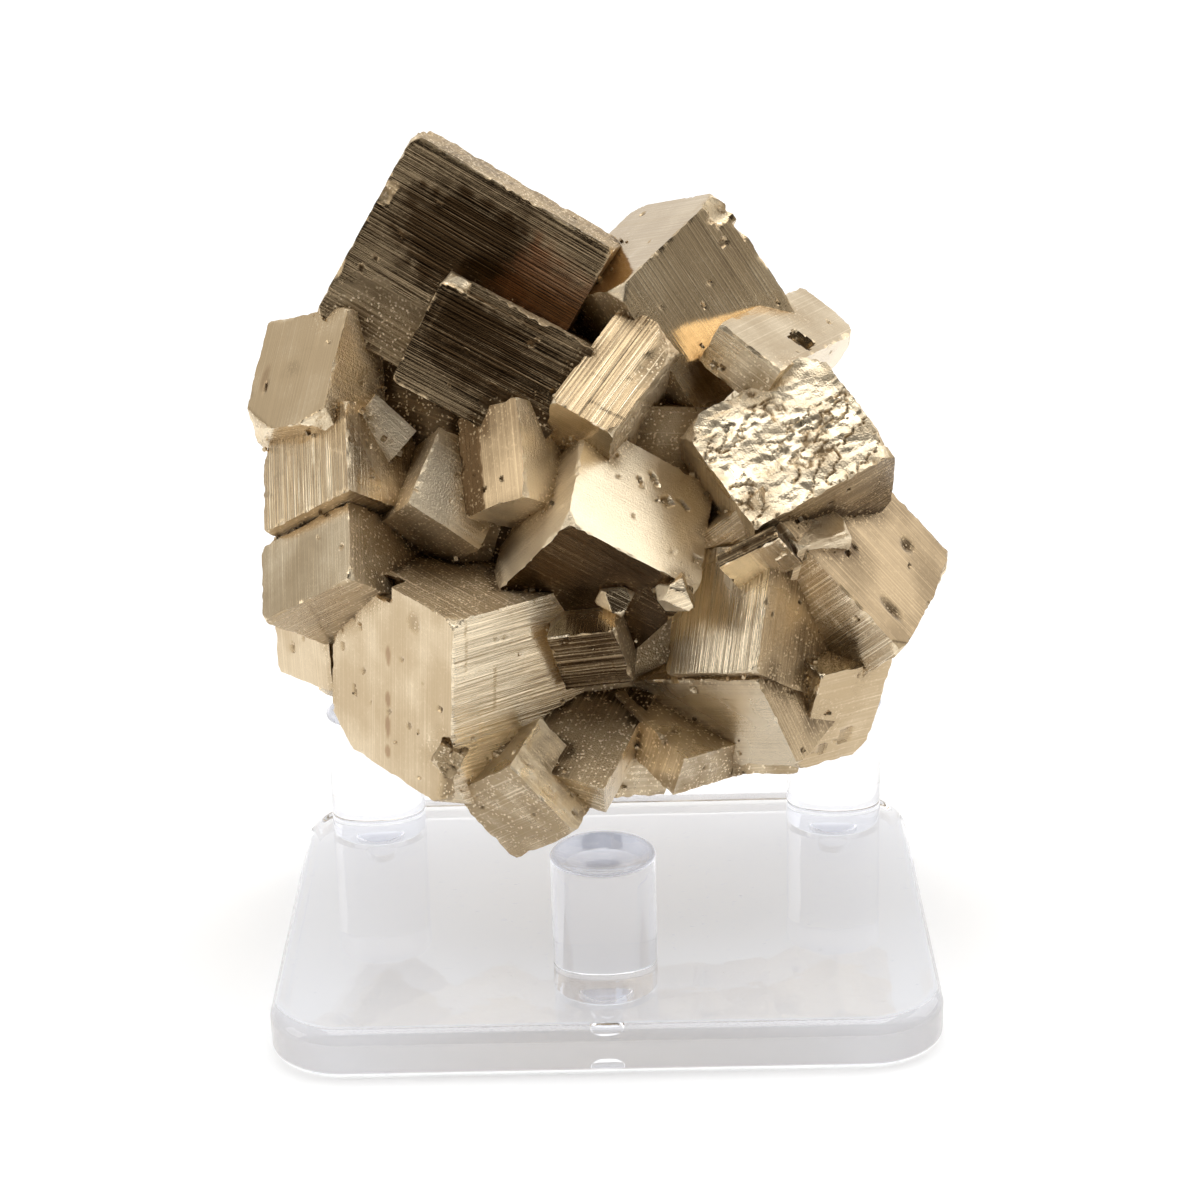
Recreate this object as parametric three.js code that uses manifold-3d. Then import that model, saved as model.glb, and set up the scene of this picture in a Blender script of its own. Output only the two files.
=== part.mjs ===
// A pyrite cluster, cubes grown through one another, resting on a clear three-peg stand.
// Millimetres, +Z up. The origin is the centre of the underside of the stand's base; the front faces -Y.
import * as THREE from "three";
import { mergeVertices } from "three/addons/utils/BufferGeometryUtils.js";
import Module from "manifold-3d";

const wasm = await Module();
wasm.setup();

// ---------------------------------------------------------------------------------------------------
// The stand
// ---------------------------------------------------------------------------------------------------

/** Clearance left between parts that touch in the real thing. */
const SEAM = 0.3;

/** The clear base plate: a rounded rectangle with softened edges. */
const BASE = {
  width: 79.5,
  depth: 65,
  thickness: 5.7,
  cornerRadius: 9.3,
  topEdge: 2,
  bottomEdge: 0.8,
};

/** One of the three pegs: a clear rod with a dished top, and a spigot under it that sits in the plate. */
const PEG = {
  radius: 6.15,
  topHeight: 22.8,
  rimWidth: 0.5,
  rimEdge: 0.2,
  footEdge: 0.35,
  dishDepth: 1.3,
  spigotRadius: 2,
  spigotLength: 3.1,
};

/** Where the pegs stand on the base: [x, y]. */
const PEG_PLACES = {
  peg_front: [0, -21.4],
  peg_back_left: [-30, 22.4],
  peg_back_right: [30, 22.4],
};

/** Sides of a quarter corner of the plate, of a rounded edge, of a peg, and rings of a peg's dish. */
const CORNER_STEPS = 9;
const EDGE_STEPS = 4;
const PEG_SIDES = 48;
const DISH_RINGS = 4;

// ---------------------------------------------------------------------------------------------------
// The crystals
// ---------------------------------------------------------------------------------------------------
// Each crystal is a block: size [across, deep, tall], centre [x, y, z] and turn in degrees
// [heading about z, tip about the block's own x, lean about its own y].

/** The crystals on the front of the cluster. */
const FRONT_CRYSTALS = [
  { name: "crown", size: [28, 14, 26], at: [-15, 23, 80], turn: [-6, -11, 30] },
  { name: "crown_step", size: [20, 12, 15], at: [-11.5, 12, 72.5], turn: [-4, -15, 28] },
  { name: "left_upper", size: [14, 14, 15.5], at: [-32.5, 18.5, 67], turn: [55, -16, 40] },
  { name: "left_middle", size: [15.5, 14, 12.5], at: [-30.5, 11.5, 58], turn: [-51, -29, -35] },
  { name: "left_lower", size: [16, 14, 10.5], at: [-30.5, 5.5, 47.5], turn: [-51, -31, -36] },
  { name: "left_tab", size: [10, 12.5, 9], at: [-33.5, 14.5, 36], turn: [39, -4, 1] },
  { name: "big_upright", size: [25, 25, 25], at: [-15.5, 4, 37.5], turn: [39, 4, 1] },
  { name: "peak", size: [20, 18, 20], at: [9.5, 24, 75], turn: [35, -16, -28] },
  { name: "right_shelf", size: [9.5, 23.5, 6], at: [23, 20, 71.5], turn: [-28, -3, 31] },
  { name: "striped_wedge", size: [9, 17, 12], at: [2.5, 8.5, 69], turn: [-36, 29, 27] },
  { name: "centre", size: [19, 17.5, 18], at: [0.5, 2.5, 52.5], turn: [-8, 27, 38] },
  { name: "rugged", size: [20, 17.5, 14], at: [23, 7, 60.5], turn: [37, 34, -25] },
  { name: "right_wing", size: [16, 21, 26], at: [26.5, 7.5, 48], turn: [-24, 13, -41] },
  { name: "right_pillar", size: [14, 14, 16], at: [18.5, -1, 43], turn: [-46, -30, -16] },
  { name: "right_apron", size: [25, 16, 13], at: [16, 2, 34], turn: [-35, 18, -15] },
  { name: "left_fin", size: [10, 14, 13], at: [-8, 6, 61], turn: [-43, -26, -28] },
  { name: "left_spike", size: [10, 12, 11], at: [-18.5, 7, 57], turn: [-26, 36, -42] },
  { name: "low_block", size: [17.5, 16, 5], at: [-4.5, -4, 30.5], turn: [-26, 24, 11] },
  { name: "low_right", size: [12, 18, 14], at: [24, 3, 34.5], turn: [38, 16, 5] },
  { name: "right_chip", size: [9, 6, 8], at: [25, 0, 52], turn: [37, 21, -3] },
  { name: "low_tip", size: [12, 9, 12], at: [-9, -9, 25.5], turn: [-26, 20, -35] },
  { name: "band_left", size: [9, 12, 8], at: [2, 1, 26], turn: [25, 3, 10] },
  { name: "band_mid", size: [12, 14, 6], at: [9.5, -2.5, 29.5], turn: [39, 20, 4] },
  { name: "dark_bar", size: [8, 9, 2], at: [19, -7, 53.5], turn: [-27, -39, -36] },
  { name: "pale_corner", size: [7, 8, 7], at: [-26.5, 12, 64], turn: [5, -17, 44] },
  { name: "sliver_right", size: [4, 4, 4], at: [9, -7.5, 49.5], turn: [-5, 3, -21] },
  { name: "sliver_left", size: [4, 4, 3.5], at: [2, -5.5, 48.5], turn: [0, -22, 28] },
  { name: "gnarl", size: [4, 6, 4], at: [-18, -12, 31.5], turn: [-4, -6, 29] },
  { name: "band_right", size: [9, 12, 6], at: [18.5, 2, 27.5], turn: [17, 5, 7] },
  { name: "small_ledge", size: [9, 9, 9], at: [-0.5, -2.5, 42.5], turn: [-7, 22, -11] },
];

/** The crystals round the back and inside, which tie the others together. */
const BACK_CRYSTALS = [
  { name: "heart", size: [44, 26, 30], at: [3, 20, 50], turn: [8, -12, 6] },
  { name: "heart_left", size: [28, 18, 24], at: [-14, 18, 58], turn: [-20, -20, 12] },
  { name: "heart_low", size: [32, 20, 14], at: [6, 10, 36], turn: [5, -10, -8] },
  { name: "back_crown", size: [20, 18, 20], at: [-13, 26, 66], turn: [24, 12, 18] },
  { name: "back_peak", size: [18, 16, 18], at: [10, 27, 61], turn: [-30, 18, -12] },
  { name: "back_slab", size: [24, 10, 16], at: [-2, 31, 49], turn: [-12, 8, 24] },
  { name: "back_left", size: [14, 14, 14], at: [-24, 25, 50], turn: [35, 20, 10] },
  { name: "back_right", size: [16, 16, 16], at: [23, 25, 52], turn: [20, -25, 15] },
  { name: "back_low", size: [18, 14, 14], at: [4, 27, 38], turn: [-15, 30, 10] },
  { name: "back_corner", size: [11, 11, 11], at: [-17, 29, 56], turn: [48, 15, -20] },
  { name: "back_stud", size: [9, 9, 9], at: [14, 32, 49], turn: [40, 30, 25] },
  { name: "back_bead", size: [7, 7, 7], at: [0, 33, 60], turn: [10, 40, 30] },
];

/** The two crystals whose lowest corners rest in the dishes of the back pegs. */
const FEET = [
  { name: "foot_left", size: [12, 12, 12], peg: "peg_back_left", heading: 20 },
  { name: "foot_right", size: [12, 12, 12], peg: "peg_back_right", heading: 65 },
];

/** Thin growth layers left standing on the faces: size and offset from the middle, in the crystal's own frame. */
const GROWTH_STEPS = [
  { on: "crown", size: [22, 0.8, 5], offset: [2, -7.2, 8] },
  { on: "crown", size: [15, 0.8, 3], offset: [-5, -7.15, -6] },
  { on: "crown_step", size: [14, 0.8, 4], offset: [2, -6.15, 3] },
  { on: "big_upright", size: [0.8, 21, 5], offset: [12.6, 0, 6] },
  { on: "big_upright", size: [0.8, 15, 3], offset: [12.55, -3, -6] },
  { on: "centre", size: [12, 0.8, 5], offset: [-2, -8.9, 4] },
  { on: "left_middle", size: [4, 0.8, 11], offset: [-3, -7.1, 0] },
  { on: "right_pillar", size: [3.5, 0.8, 14], offset: [-2, -7.1, 0] },
  { on: "right_wing", size: [12, 0.8, 5], offset: [0, -10.6, -5] },
  { on: "peak", size: [5, 0.8, 15], offset: [4, -9.1, 0] },
  { on: "back_slab", size: [20, 0.8, 4], offset: [0, 5.15, 3] },
  { on: "back_crown", size: [5, 0.8, 17], offset: [-3, 9.15, 0] },
];

/** Pits and notches let into the faces, placed the same way. */
const PITS = [
  { on: "right_shelf", size: [2.6, 3, 2], offset: [-2.2, -1, 3] },
  { on: "peak", size: [2, 3, 3], offset: [9.8, -9, 3] },
  { on: "peak", size: [3, 2, 2], offset: [6, -9, 9] },
  { on: "big_upright", size: [3.5, 3, 3], offset: [-7, -12.3, 12.3] },
  { on: "centre", size: [1.6, 1.2, 1.2], offset: [1, -8.7, 5.5] },
  { on: "centre", size: [1.2, 1.2, 1.6], offset: [3.2, -8.7, 3] },
  { on: "right_wing", size: [2.2, 1.6, 2.6], offset: [3.5, -10.4, 6] },
  { on: "right_wing", size: [2.4, 1.6, 2], offset: [-2.5, -10.4, -8] },
  { on: "low_block", size: [3, 2, 2], offset: [-4, -7.8, -1] },
  { on: "left_upper", size: [2, 2, 3], offset: [-7, -6, -3] },
];

/** How deep the crystals' corners are chipped, by the crystal's smallest side, and the seed that spreads them. */
const CHIP = { least: 0.03, most: 0.1, skew: 0.35, seed: 17 };

// ---------------------------------------------------------------------------------------------------
// Solids
// ---------------------------------------------------------------------------------------------------

/** A closed three.js geometry as a manifold solid. */
function solid(geometry) {
  const plain = geometry.clone();
  plain.deleteAttribute("normal");
  plain.deleteAttribute("uv");
  const welded = mergeVertices(plain, 1e-5);
  const mesh = new wasm.Mesh({
    numProp: 3,
    vertProperties: new Float32Array(welded.attributes.position.array),
    triVerts: new Uint32Array(welded.index.array),
  });
  mesh.merge();
  return new wasm.Manifold(mesh);
}

/** A manifold solid as a three.js geometry. */
function geometryOf(shape) {
  const mesh = shape.getMesh();
  const geometry = new THREE.BufferGeometry();
  const corners = new Float32Array(mesh.numVert * 3);
  for (let vertex = 0; vertex < mesh.numVert; vertex += 1) {
    for (let axis = 0; axis < 3; axis += 1) {
      corners[vertex * 3 + axis] = mesh.vertProperties[vertex * mesh.numProp + axis];
    }
  }
  geometry.setAttribute("position", new THREE.BufferAttribute(corners, 3));
  geometry.setIndex(new THREE.BufferAttribute(new Uint32Array(mesh.triVerts), 1));
  geometry.computeVertexNormals();
  return geometry;
}

/** A repeatable stream of numbers from 0 to 1. */
function stream(seed) {
  let state = seed;
  return () => {
    state = (state * 16807) % 2147483647;
    return state / 2147483647;
  };
}

/** The placement of a crystal: its own frame into the object's. */
function placement(block) {
  const [heading, tip, lean] = block.turn.map((degrees) => THREE.MathUtils.degToRad(degrees));
  const turn = new THREE.Quaternion().setFromEuler(new THREE.Euler(tip, lean, heading, "ZXY"));
  return new THREE.Matrix4().compose(new THREE.Vector3(...block.at), turn, new THREE.Vector3(1, 1, 1));
}

/** A block of the given size, moved to an offset in a crystal's frame. */
function blockOn(crystal, size, offset) {
  const box = new THREE.BoxGeometry(...size);
  box.translate(...offset);
  box.applyMatrix4(placement(crystal));
  return solid(box);
}

/** A large block whose near face passes through the corner's chip plane, to be taken away. */
function chipCutter(crystal, corner, depth, skew) {
  const reach = Math.max(...crystal.size);
  const outward = new THREE.Vector3(corner[0] + skew[0], corner[1] + skew[1], corner[2] + skew[2]);
  outward.normalize();
  const tip = new THREE.Vector3(...corner).multiply(new THREE.Vector3(...crystal.size)).multiplyScalar(0.5);
  const middle = tip.clone().addScaledVector(outward, reach / 2 - depth);
  const turn = new THREE.Quaternion().setFromUnitVectors(new THREE.Vector3(0, 0, 1), outward);
  const box = new THREE.BoxGeometry(reach, reach, reach);
  box.applyMatrix4(new THREE.Matrix4().compose(middle, turn, new THREE.Vector3(1, 1, 1)));
  box.applyMatrix4(placement(crystal));
  return solid(box);
}

/** One crystal with its eight corners chipped, or left sharp where it stands in a dish. */
function crystalSolid(crystal, next) {
  let shape = blockOn(crystal, crystal.size, [0, 0, 0]);
  if (crystal.sharp) {
    return shape;
  }
  const least = Math.min(...crystal.size);
  for (const x of [-1, 1]) {
    for (const y of [-1, 1]) {
      for (const z of [-1, 1]) {
        const depth = least * (CHIP.least + (CHIP.most - CHIP.least) * next());
        const skew = [next() - 0.5, next() - 0.5, next() - 0.5].map((value) => value * 2 * CHIP.skew);
        shape = shape.subtract(chipCutter(crystal, [x, y, z], depth, skew));
      }
    }
  }
  return shape;
}

/** A crystal standing on one corner, the corner a SEAM above the middle of its peg's dish. */
function footBlock(foot) {
  const [x, y] = PEG_PLACES[foot.peg];
  const side = foot.size[0];
  const tip = THREE.MathUtils.radToDeg(Math.atan(Math.SQRT1_2));
  const lean = 45;
  const halfDiagonal = (side * Math.sqrt(3)) / 2;
  const height = PEG.topHeight - PEG.dishDepth + SEAM + halfDiagonal;
  return { name: foot.name, size: foot.size, at: [x, y, height], turn: [foot.heading, tip, lean], sharp: true };
}

/** The side of a peg from the axis at its foot to the axis in its dish, every face moved out by grow. */
function pegProfile(grow) {
  const foot = BASE.thickness + SEAM - grow;
  const top = PEG.topHeight + grow;
  const radius = PEG.radius + grow;
  const spigotEnd = BASE.thickness + SEAM - PEG.spigotLength;
  const spigot = PEG.spigotRadius + grow;
  const bowl = PEG.radius - PEG.rimWidth;
  const points = [
    new THREE.Vector2(0, spigotEnd),
    new THREE.Vector2(spigot, spigotEnd),
    new THREE.Vector2(spigot, foot),
    new THREE.Vector2(radius - PEG.footEdge, foot),
    new THREE.Vector2(radius, foot + PEG.footEdge),
    new THREE.Vector2(radius, top - PEG.rimEdge),
    new THREE.Vector2(radius - PEG.rimEdge, top),
  ];
  for (let ring = 0; ring <= DISH_RINGS; ring += 1) {
    const out = 1 - ring / DISH_RINGS;
    points.push(new THREE.Vector2(bowl * out, top - PEG.dishDepth * (1 - out * out)));
  }
  return points;
}

/** A peg, or the room a peg needs when grown by a clearance. */
function pegSolid(place, grow) {
  const lathe = new THREE.LatheGeometry(pegProfile(grow), PEG_SIDES);
  lathe.rotateX(Math.PI / 2);
  lathe.translate(place[0], place[1], 0);
  return solid(lathe);
}

/** The outline of the plate, its sides moved in by inset, at one height. */
function plateRing(inset, height) {
  const radius = BASE.cornerRadius - inset;
  const reachX = BASE.width / 2 - BASE.cornerRadius;
  const reachY = BASE.depth / 2 - BASE.cornerRadius;
  const ring = [];
  for (const [quarter, x, y] of [[0, 1, 1], [1, -1, 1], [2, -1, -1], [3, 1, -1]]) {
    for (let step = 0; step <= CORNER_STEPS; step += 1) {
      const angle = (quarter + step / CORNER_STEPS) * (Math.PI / 2);
      ring.push(x * reachX + radius * Math.cos(angle), y * reachY + radius * Math.sin(angle), height);
    }
  }
  return ring;
}

/** The plate: rings from the underside to the top, closed at both ends. */
function plateGeometry() {
  const rings = [];
  for (let step = 0; step <= EDGE_STEPS; step += 1) {
    const angle = (step / EDGE_STEPS) * (Math.PI / 2);
    rings.push(plateRing(BASE.bottomEdge * (1 - Math.sin(angle)), BASE.bottomEdge * (1 - Math.cos(angle))));
  }
  for (let step = 0; step <= EDGE_STEPS; step += 1) {
    const angle = (step / EDGE_STEPS) * (Math.PI / 2);
    const height = BASE.thickness - BASE.topEdge * (1 - Math.sin(angle));
    rings.push(plateRing(BASE.topEdge * (1 - Math.cos(angle)), height));
  }
  const count = rings[0].length / 3;
  const faces = [];
  for (let level = 0; level + 1 < rings.length; level += 1) {
    for (let point = 0; point < count; point += 1) {
      const next = (point + 1) % count;
      const low = level * count;
      const high = low + count;
      faces.push(low + point, low + next, high + next);
      faces.push(low + point, high + next, high + point);
    }
  }
  const last = (rings.length - 1) * count;
  for (let point = 1; point + 1 < count; point += 1) {
    faces.push(0, point + 1, point);
    faces.push(last, last + point, last + point + 1);
  }
  const geometry = new THREE.BufferGeometry();
  geometry.setAttribute("position", new THREE.Float32BufferAttribute(rings.flat(), 3));
  geometry.setIndex(faces);
  return geometry;
}

// ---------------------------------------------------------------------------------------------------
// Putting it together
// ---------------------------------------------------------------------------------------------------

/** The crystals joined in one piece, with layers added, pits taken out and room left for the pegs. */
function clusterGeometry() {
  const next = stream(CHIP.seed);
  const crystals = [...FRONT_CRYSTALS, ...BACK_CRYSTALS, ...FEET.map(footBlock)];
  const named = new Map(crystals.map((crystal) => [crystal.name, crystal]));
  let cluster = null;
  for (const crystal of crystals) {
    let shape = crystalSolid(crystal, next);
    for (const step of GROWTH_STEPS.filter((entry) => entry.on === crystal.name)) {
      shape = shape.add(blockOn(named.get(step.on), step.size, step.offset));
    }
    for (const pit of PITS.filter((entry) => entry.on === crystal.name)) {
      shape = shape.subtract(blockOn(named.get(pit.on), pit.size, pit.offset));
    }
    cluster = cluster === null ? shape : cluster.add(shape);
  }
  for (const place of Object.values(PEG_PLACES)) {
    cluster = cluster.subtract(pegSolid(place, SEAM));
  }
  return geometryOf(cluster);
}

/** The plate with a blind hole for each peg's spigot. */
function baseGeometry() {
  let plate = solid(plateGeometry());
  const radius = PEG.spigotRadius + SEAM;
  const floor = BASE.thickness - PEG.spigotLength;
  for (const [x, y] of Object.values(PEG_PLACES)) {
    const bore = new THREE.CylinderGeometry(radius, radius, BASE.thickness, PEG_SIDES);
    bore.rotateX(Math.PI / 2);
    bore.translate(x, y, floor + BASE.thickness / 2);
    plate = plate.subtract(solid(bore));
  }
  return geometryOf(plate);
}

const pyrite = new THREE.MeshStandardMaterial({ color: 0xb9a273, roughness: 0.32, metalness: 1 });
const acrylic = new THREE.MeshStandardMaterial({
  color: 0xf1f2f8,
  roughness: 0.06,
  metalness: 0,
  transparent: true,
  opacity: 0.35,
});

/** A named mesh ready for the group. */
function piece(name, geometry, material) {
  const mesh = new THREE.Mesh(geometry, material);
  mesh.name = name;
  return mesh;
}

const object = new THREE.Group();
object.name = "pyrite_specimen";
object.add(piece("stand_base", baseGeometry(), acrylic));
for (const [name, place] of Object.entries(PEG_PLACES)) {
  object.add(piece(name, geometryOf(pegSolid(place, 0)), acrylic));
}
object.add(piece("pyrite_cluster", clusterGeometry(), pyrite));

export default object;
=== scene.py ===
"""Looks of a pyrite cluster on a clear three-peg display stand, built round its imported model.

Every crystal is a block worked out with numpy: growth lines, ledges, pits, chipped edges and broken
faces are heights taken off its six faces. Sizes in the classes are millimetres, in each crystal's own
frame; meshes are in metres in the model's frame, with +Z up and the front facing -Y.
"""

import logging
import math
from dataclasses import dataclass
from enum import Enum

import bpy
import numpy as np
from mathutils import Matrix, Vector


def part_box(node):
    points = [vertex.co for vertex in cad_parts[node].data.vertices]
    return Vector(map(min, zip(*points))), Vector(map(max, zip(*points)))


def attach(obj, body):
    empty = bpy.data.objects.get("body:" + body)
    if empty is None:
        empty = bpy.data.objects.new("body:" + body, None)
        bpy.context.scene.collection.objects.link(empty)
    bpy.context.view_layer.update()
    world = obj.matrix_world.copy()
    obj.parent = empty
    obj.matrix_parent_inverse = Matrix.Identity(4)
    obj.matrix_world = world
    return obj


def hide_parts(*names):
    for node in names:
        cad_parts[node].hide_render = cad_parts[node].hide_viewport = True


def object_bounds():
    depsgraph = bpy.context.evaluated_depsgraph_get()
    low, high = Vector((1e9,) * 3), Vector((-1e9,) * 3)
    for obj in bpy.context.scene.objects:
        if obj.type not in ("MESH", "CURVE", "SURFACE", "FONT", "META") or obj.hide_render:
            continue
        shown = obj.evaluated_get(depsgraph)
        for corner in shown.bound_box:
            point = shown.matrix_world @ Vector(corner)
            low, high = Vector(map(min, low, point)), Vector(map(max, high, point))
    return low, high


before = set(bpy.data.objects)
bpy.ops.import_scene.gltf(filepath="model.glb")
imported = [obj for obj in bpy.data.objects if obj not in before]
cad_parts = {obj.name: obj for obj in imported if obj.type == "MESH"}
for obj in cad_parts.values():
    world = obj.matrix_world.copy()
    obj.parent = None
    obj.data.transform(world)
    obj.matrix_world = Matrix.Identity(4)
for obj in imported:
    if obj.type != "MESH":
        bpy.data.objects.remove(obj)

CAD_BOX = [[float(value) for value in corner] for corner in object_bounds()]
BOX_MARGIN = 1e-5
MM = 0.001
ROOT = "root"
PEG_NODES = ("peg_front", "peg_back_left", "peg_back_right")
LINES_MAP = "growth_lines"
SKIN_MAP = "skin"

Colour = tuple[float, float, float, float]
Shape = tuple[np.ndarray, np.ndarray, np.ndarray]
Socket = bpy.types.NodeSocket

log = logging.getLogger("pyrite")


def in_metres(points: np.ndarray) -> np.ndarray:
    """Points in millimetres as metres, kept just inside the box of the solids."""
    low, high = np.array(CAD_BOX)
    return np.clip(points * MM, low + BOX_MARGIN, high - BOX_MARGIN)


def new_object(name: str, data: bpy.types.ID) -> bpy.types.Object:
    """Puts a mesh, light or camera in the scene, at the origin.

    Args:
        name: Name of the object.
        data: What it shows.

    Returns:
        The object.
    """
    made = bpy.data.objects.new(name, data)
    bpy.context.scene.collection.objects.link(made)
    return made


# ---------------- Noise, as whole arrays ----------------


def hashed(first: np.ndarray, second: np.ndarray, seed: int) -> np.ndarray:
    """Gives every whole-number pair its own fixed value.

    The two numbers and the seed are multiplied by large odd numbers, added, and stirred twice.

    Args:
        first: Whole numbers.
        second: Whole numbers of the same shape.
        seed: Changes every value.

    Returns:
        Values from 0 to 1.
    """
    one = first.astype(np.int64).astype(np.uint64)
    two = second.astype(np.int64).astype(np.uint64)
    mixed = one * np.uint64(0x9E3779B97F4A7C15) + two * np.uint64(0xC2B2AE3D27D4EB4F)
    mixed = mixed + np.uint64(seed * 0x165667B1 + 0x27D4EB2F)
    mixed = (mixed ^ (mixed >> np.uint64(29))) * np.uint64(0xBF58476D1CE4E5B9)
    mixed = (mixed ^ (mixed >> np.uint64(32))) * np.uint64(0x94D049BB133111EB)
    mixed = mixed ^ (mixed >> np.uint64(30))
    return (mixed >> np.uint64(40)).astype(np.float64) / float(1 << 24)


def rolling(x: np.ndarray, y: np.ndarray, seed: int) -> np.ndarray:
    """Smooth noise: values at whole-number corners, eased from one to the next.

    Args:
        x: First coordinate, in cells.
        y: Second coordinate, in cells.
        seed: Changes the pattern.

    Returns:
        Heights from 0 to 1.
    """
    x0 = np.floor(x)
    y0 = np.floor(y)
    fx = x - x0
    fy = y - y0
    fx = fx * fx * (3.0 - 2.0 * fx)
    fy = fy * fy * (3.0 - 2.0 * fy)
    low = hashed(x0, y0, seed) * (1.0 - fx) + hashed(x0 + 1, y0, seed) * fx
    high = hashed(x0, y0 + 1, seed) * (1.0 - fx) + hashed(x0 + 1, y0 + 1, seed) * fx
    return low * (1.0 - fy) + high * fy


def facets(x: np.ndarray, y: np.ndarray, seed: int) -> np.ndarray:
    """Noise made of flat three-cornered facets: each cell is split in two and each half is a plane.

    Args:
        x: First coordinate, in cells.
        y: Second coordinate, in cells.
        seed: Changes the pattern.

    Returns:
        Heights from 0 to 1.
    """
    x0 = np.floor(x)
    y0 = np.floor(y)
    fx = x - x0
    fy = y - y0
    a = hashed(x0, y0, seed)
    b = hashed(x0 + 1, y0, seed)
    c = hashed(x0, y0 + 1, seed)
    d = hashed(x0 + 1, y0 + 1, seed)
    lower = a + (b - a) * fx + (c - a) * fy
    upper = d + (c - d) * (1.0 - fx) + (b - d) * (1.0 - fy)
    return np.where(fx + fy < 1.0, lower, upper)


def bands(along: np.ndarray, across: np.ndarray, pitch: float, reach: float, seed: int) -> np.ndarray:
    """Flat bands with sharp steps between them, as growth leaves on a crystal face.

    Across the lines the coordinate is divided by an uneven pitch and rounded down; along them each
    band breaks into lengths of about one reach, and every length has its own height.

    Args:
        along: Coordinate along the lines.
        across: Coordinate across the lines.
        pitch: Mean width of a band.
        reach: Mean length of a band.
        seed: Changes the pattern.

    Returns:
        Heights from 0 to 1.
    """
    sway = rolling(across / (3.1 * pitch), along * 0.0, seed + 5)
    number = np.floor(across / pitch + 1.6 * sway)
    start = hashed(number, number * 0.0, seed + 9) * 7.0
    part = np.floor(along / reach + start)
    return hashed(number, part, seed)


def turned(axis: int, angle: float) -> np.ndarray:
    """A turn about one axis: cosines on the diagonal, sines of two signs beside it.

    Args:
        axis: Number of the axis.
        angle: The turn, in radians.

    Returns:
        The matrix.
    """
    first, second = (axis + 1) % 3, (axis + 2) % 3
    matrix = np.eye(3)
    matrix[first, first] = matrix[second, second] = math.cos(angle)
    matrix[second, first] = math.sin(angle)
    matrix[first, second] = -math.sin(angle)
    return matrix


def ease(value: np.ndarray, low: float, high: float) -> np.ndarray:
    """Rises smoothly from 0 at low to 1 at high."""
    t = np.clip((value - low) / (high - low), 0.0, 1.0)
    return t * t * (3.0 - 2.0 * t)


# ---------------- What a crystal is ----------------


class Side(Enum):
    """The six faces of a crystal: the axis each looks along, and which way."""

    LEFT = (0, -1)
    RIGHT = (0, 1)
    FRONT = (1, -1)
    BACK = (1, 1)
    UNDER = (2, -1)
    TOP = (2, 1)


class Run(Enum):
    """The axis of the crystal that a face's growth lines run along."""

    ACROSS = 0
    DEEP = 1
    TALL = 2


@dataclass(frozen=True)
class Mark:
    """A pit, a stain, a rough patch or a patch of painted reflection on a face.

    Attributes:
        at: Middle of the mark on the face, along the face's two axes.
        half: Half its width along each.
        depth: How far it goes in.
        soft: Width of its border.
        oval: True for an oval, False for a square one.
        turn: Turn on the face, in degrees.
        tone: Change of tone inside it.
        grain: Added grain inside it.
        stain: Added stain inside it.
    """

    at: tuple[float, float]
    half: tuple[float, float]
    depth: float = 0.0
    soft: float = 0.3
    oval: bool = False
    turn: float = 0.0
    tone: float = 0.0
    grain: float = 0.0
    stain: float = 0.0


@dataclass(frozen=True)
class Skin:
    """How one face of a crystal has grown and worn, and how light or dark it is painted.

    Attributes:
        lines: Depth of its growth lines.
        run: Which way the lines run, or None for the usual way of that face.
        ledges: Depth of its broad ledges.
        chips: Depth of the bites out of its edges.
        broken: Depth of a fractured face's relief.
        hills: Depth of slow waves.
        pits: Number of small square pits.
        grain: Amount of fine grain, 0 to 1; it also sets the strength of its painted glints.
        tone: 0 for dark bronze to 1 for pale brass. Set face by face, it holds painted light and
        shade as well as the metal's colour: faces are painted darker where they mirror dark
        surroundings and paler where they lie in shade.
        marks: Pits, stains and patches of its own.
    """

    lines: float = 0.05
    run: Run | None = None
    ledges: float = 0.08
    chips: float = 0.5
    broken: float = 0.0
    hills: float = 0.03
    pits: int = 3
    grain: float = 0.12
    tone: float = 0.72
    marks: tuple[Mark, ...] = ()


@dataclass(frozen=True)
class Cut:
    """A corner or an edge broken off.

    Attributes:
        toward: Direction of the break in the crystal's frame.
        depth: How far in from the crystal's furthest point that way.
        rough: Height of the break's relief.
    """

    toward: tuple[float, float, float]
    depth: float
    rough: float = 0.35


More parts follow.
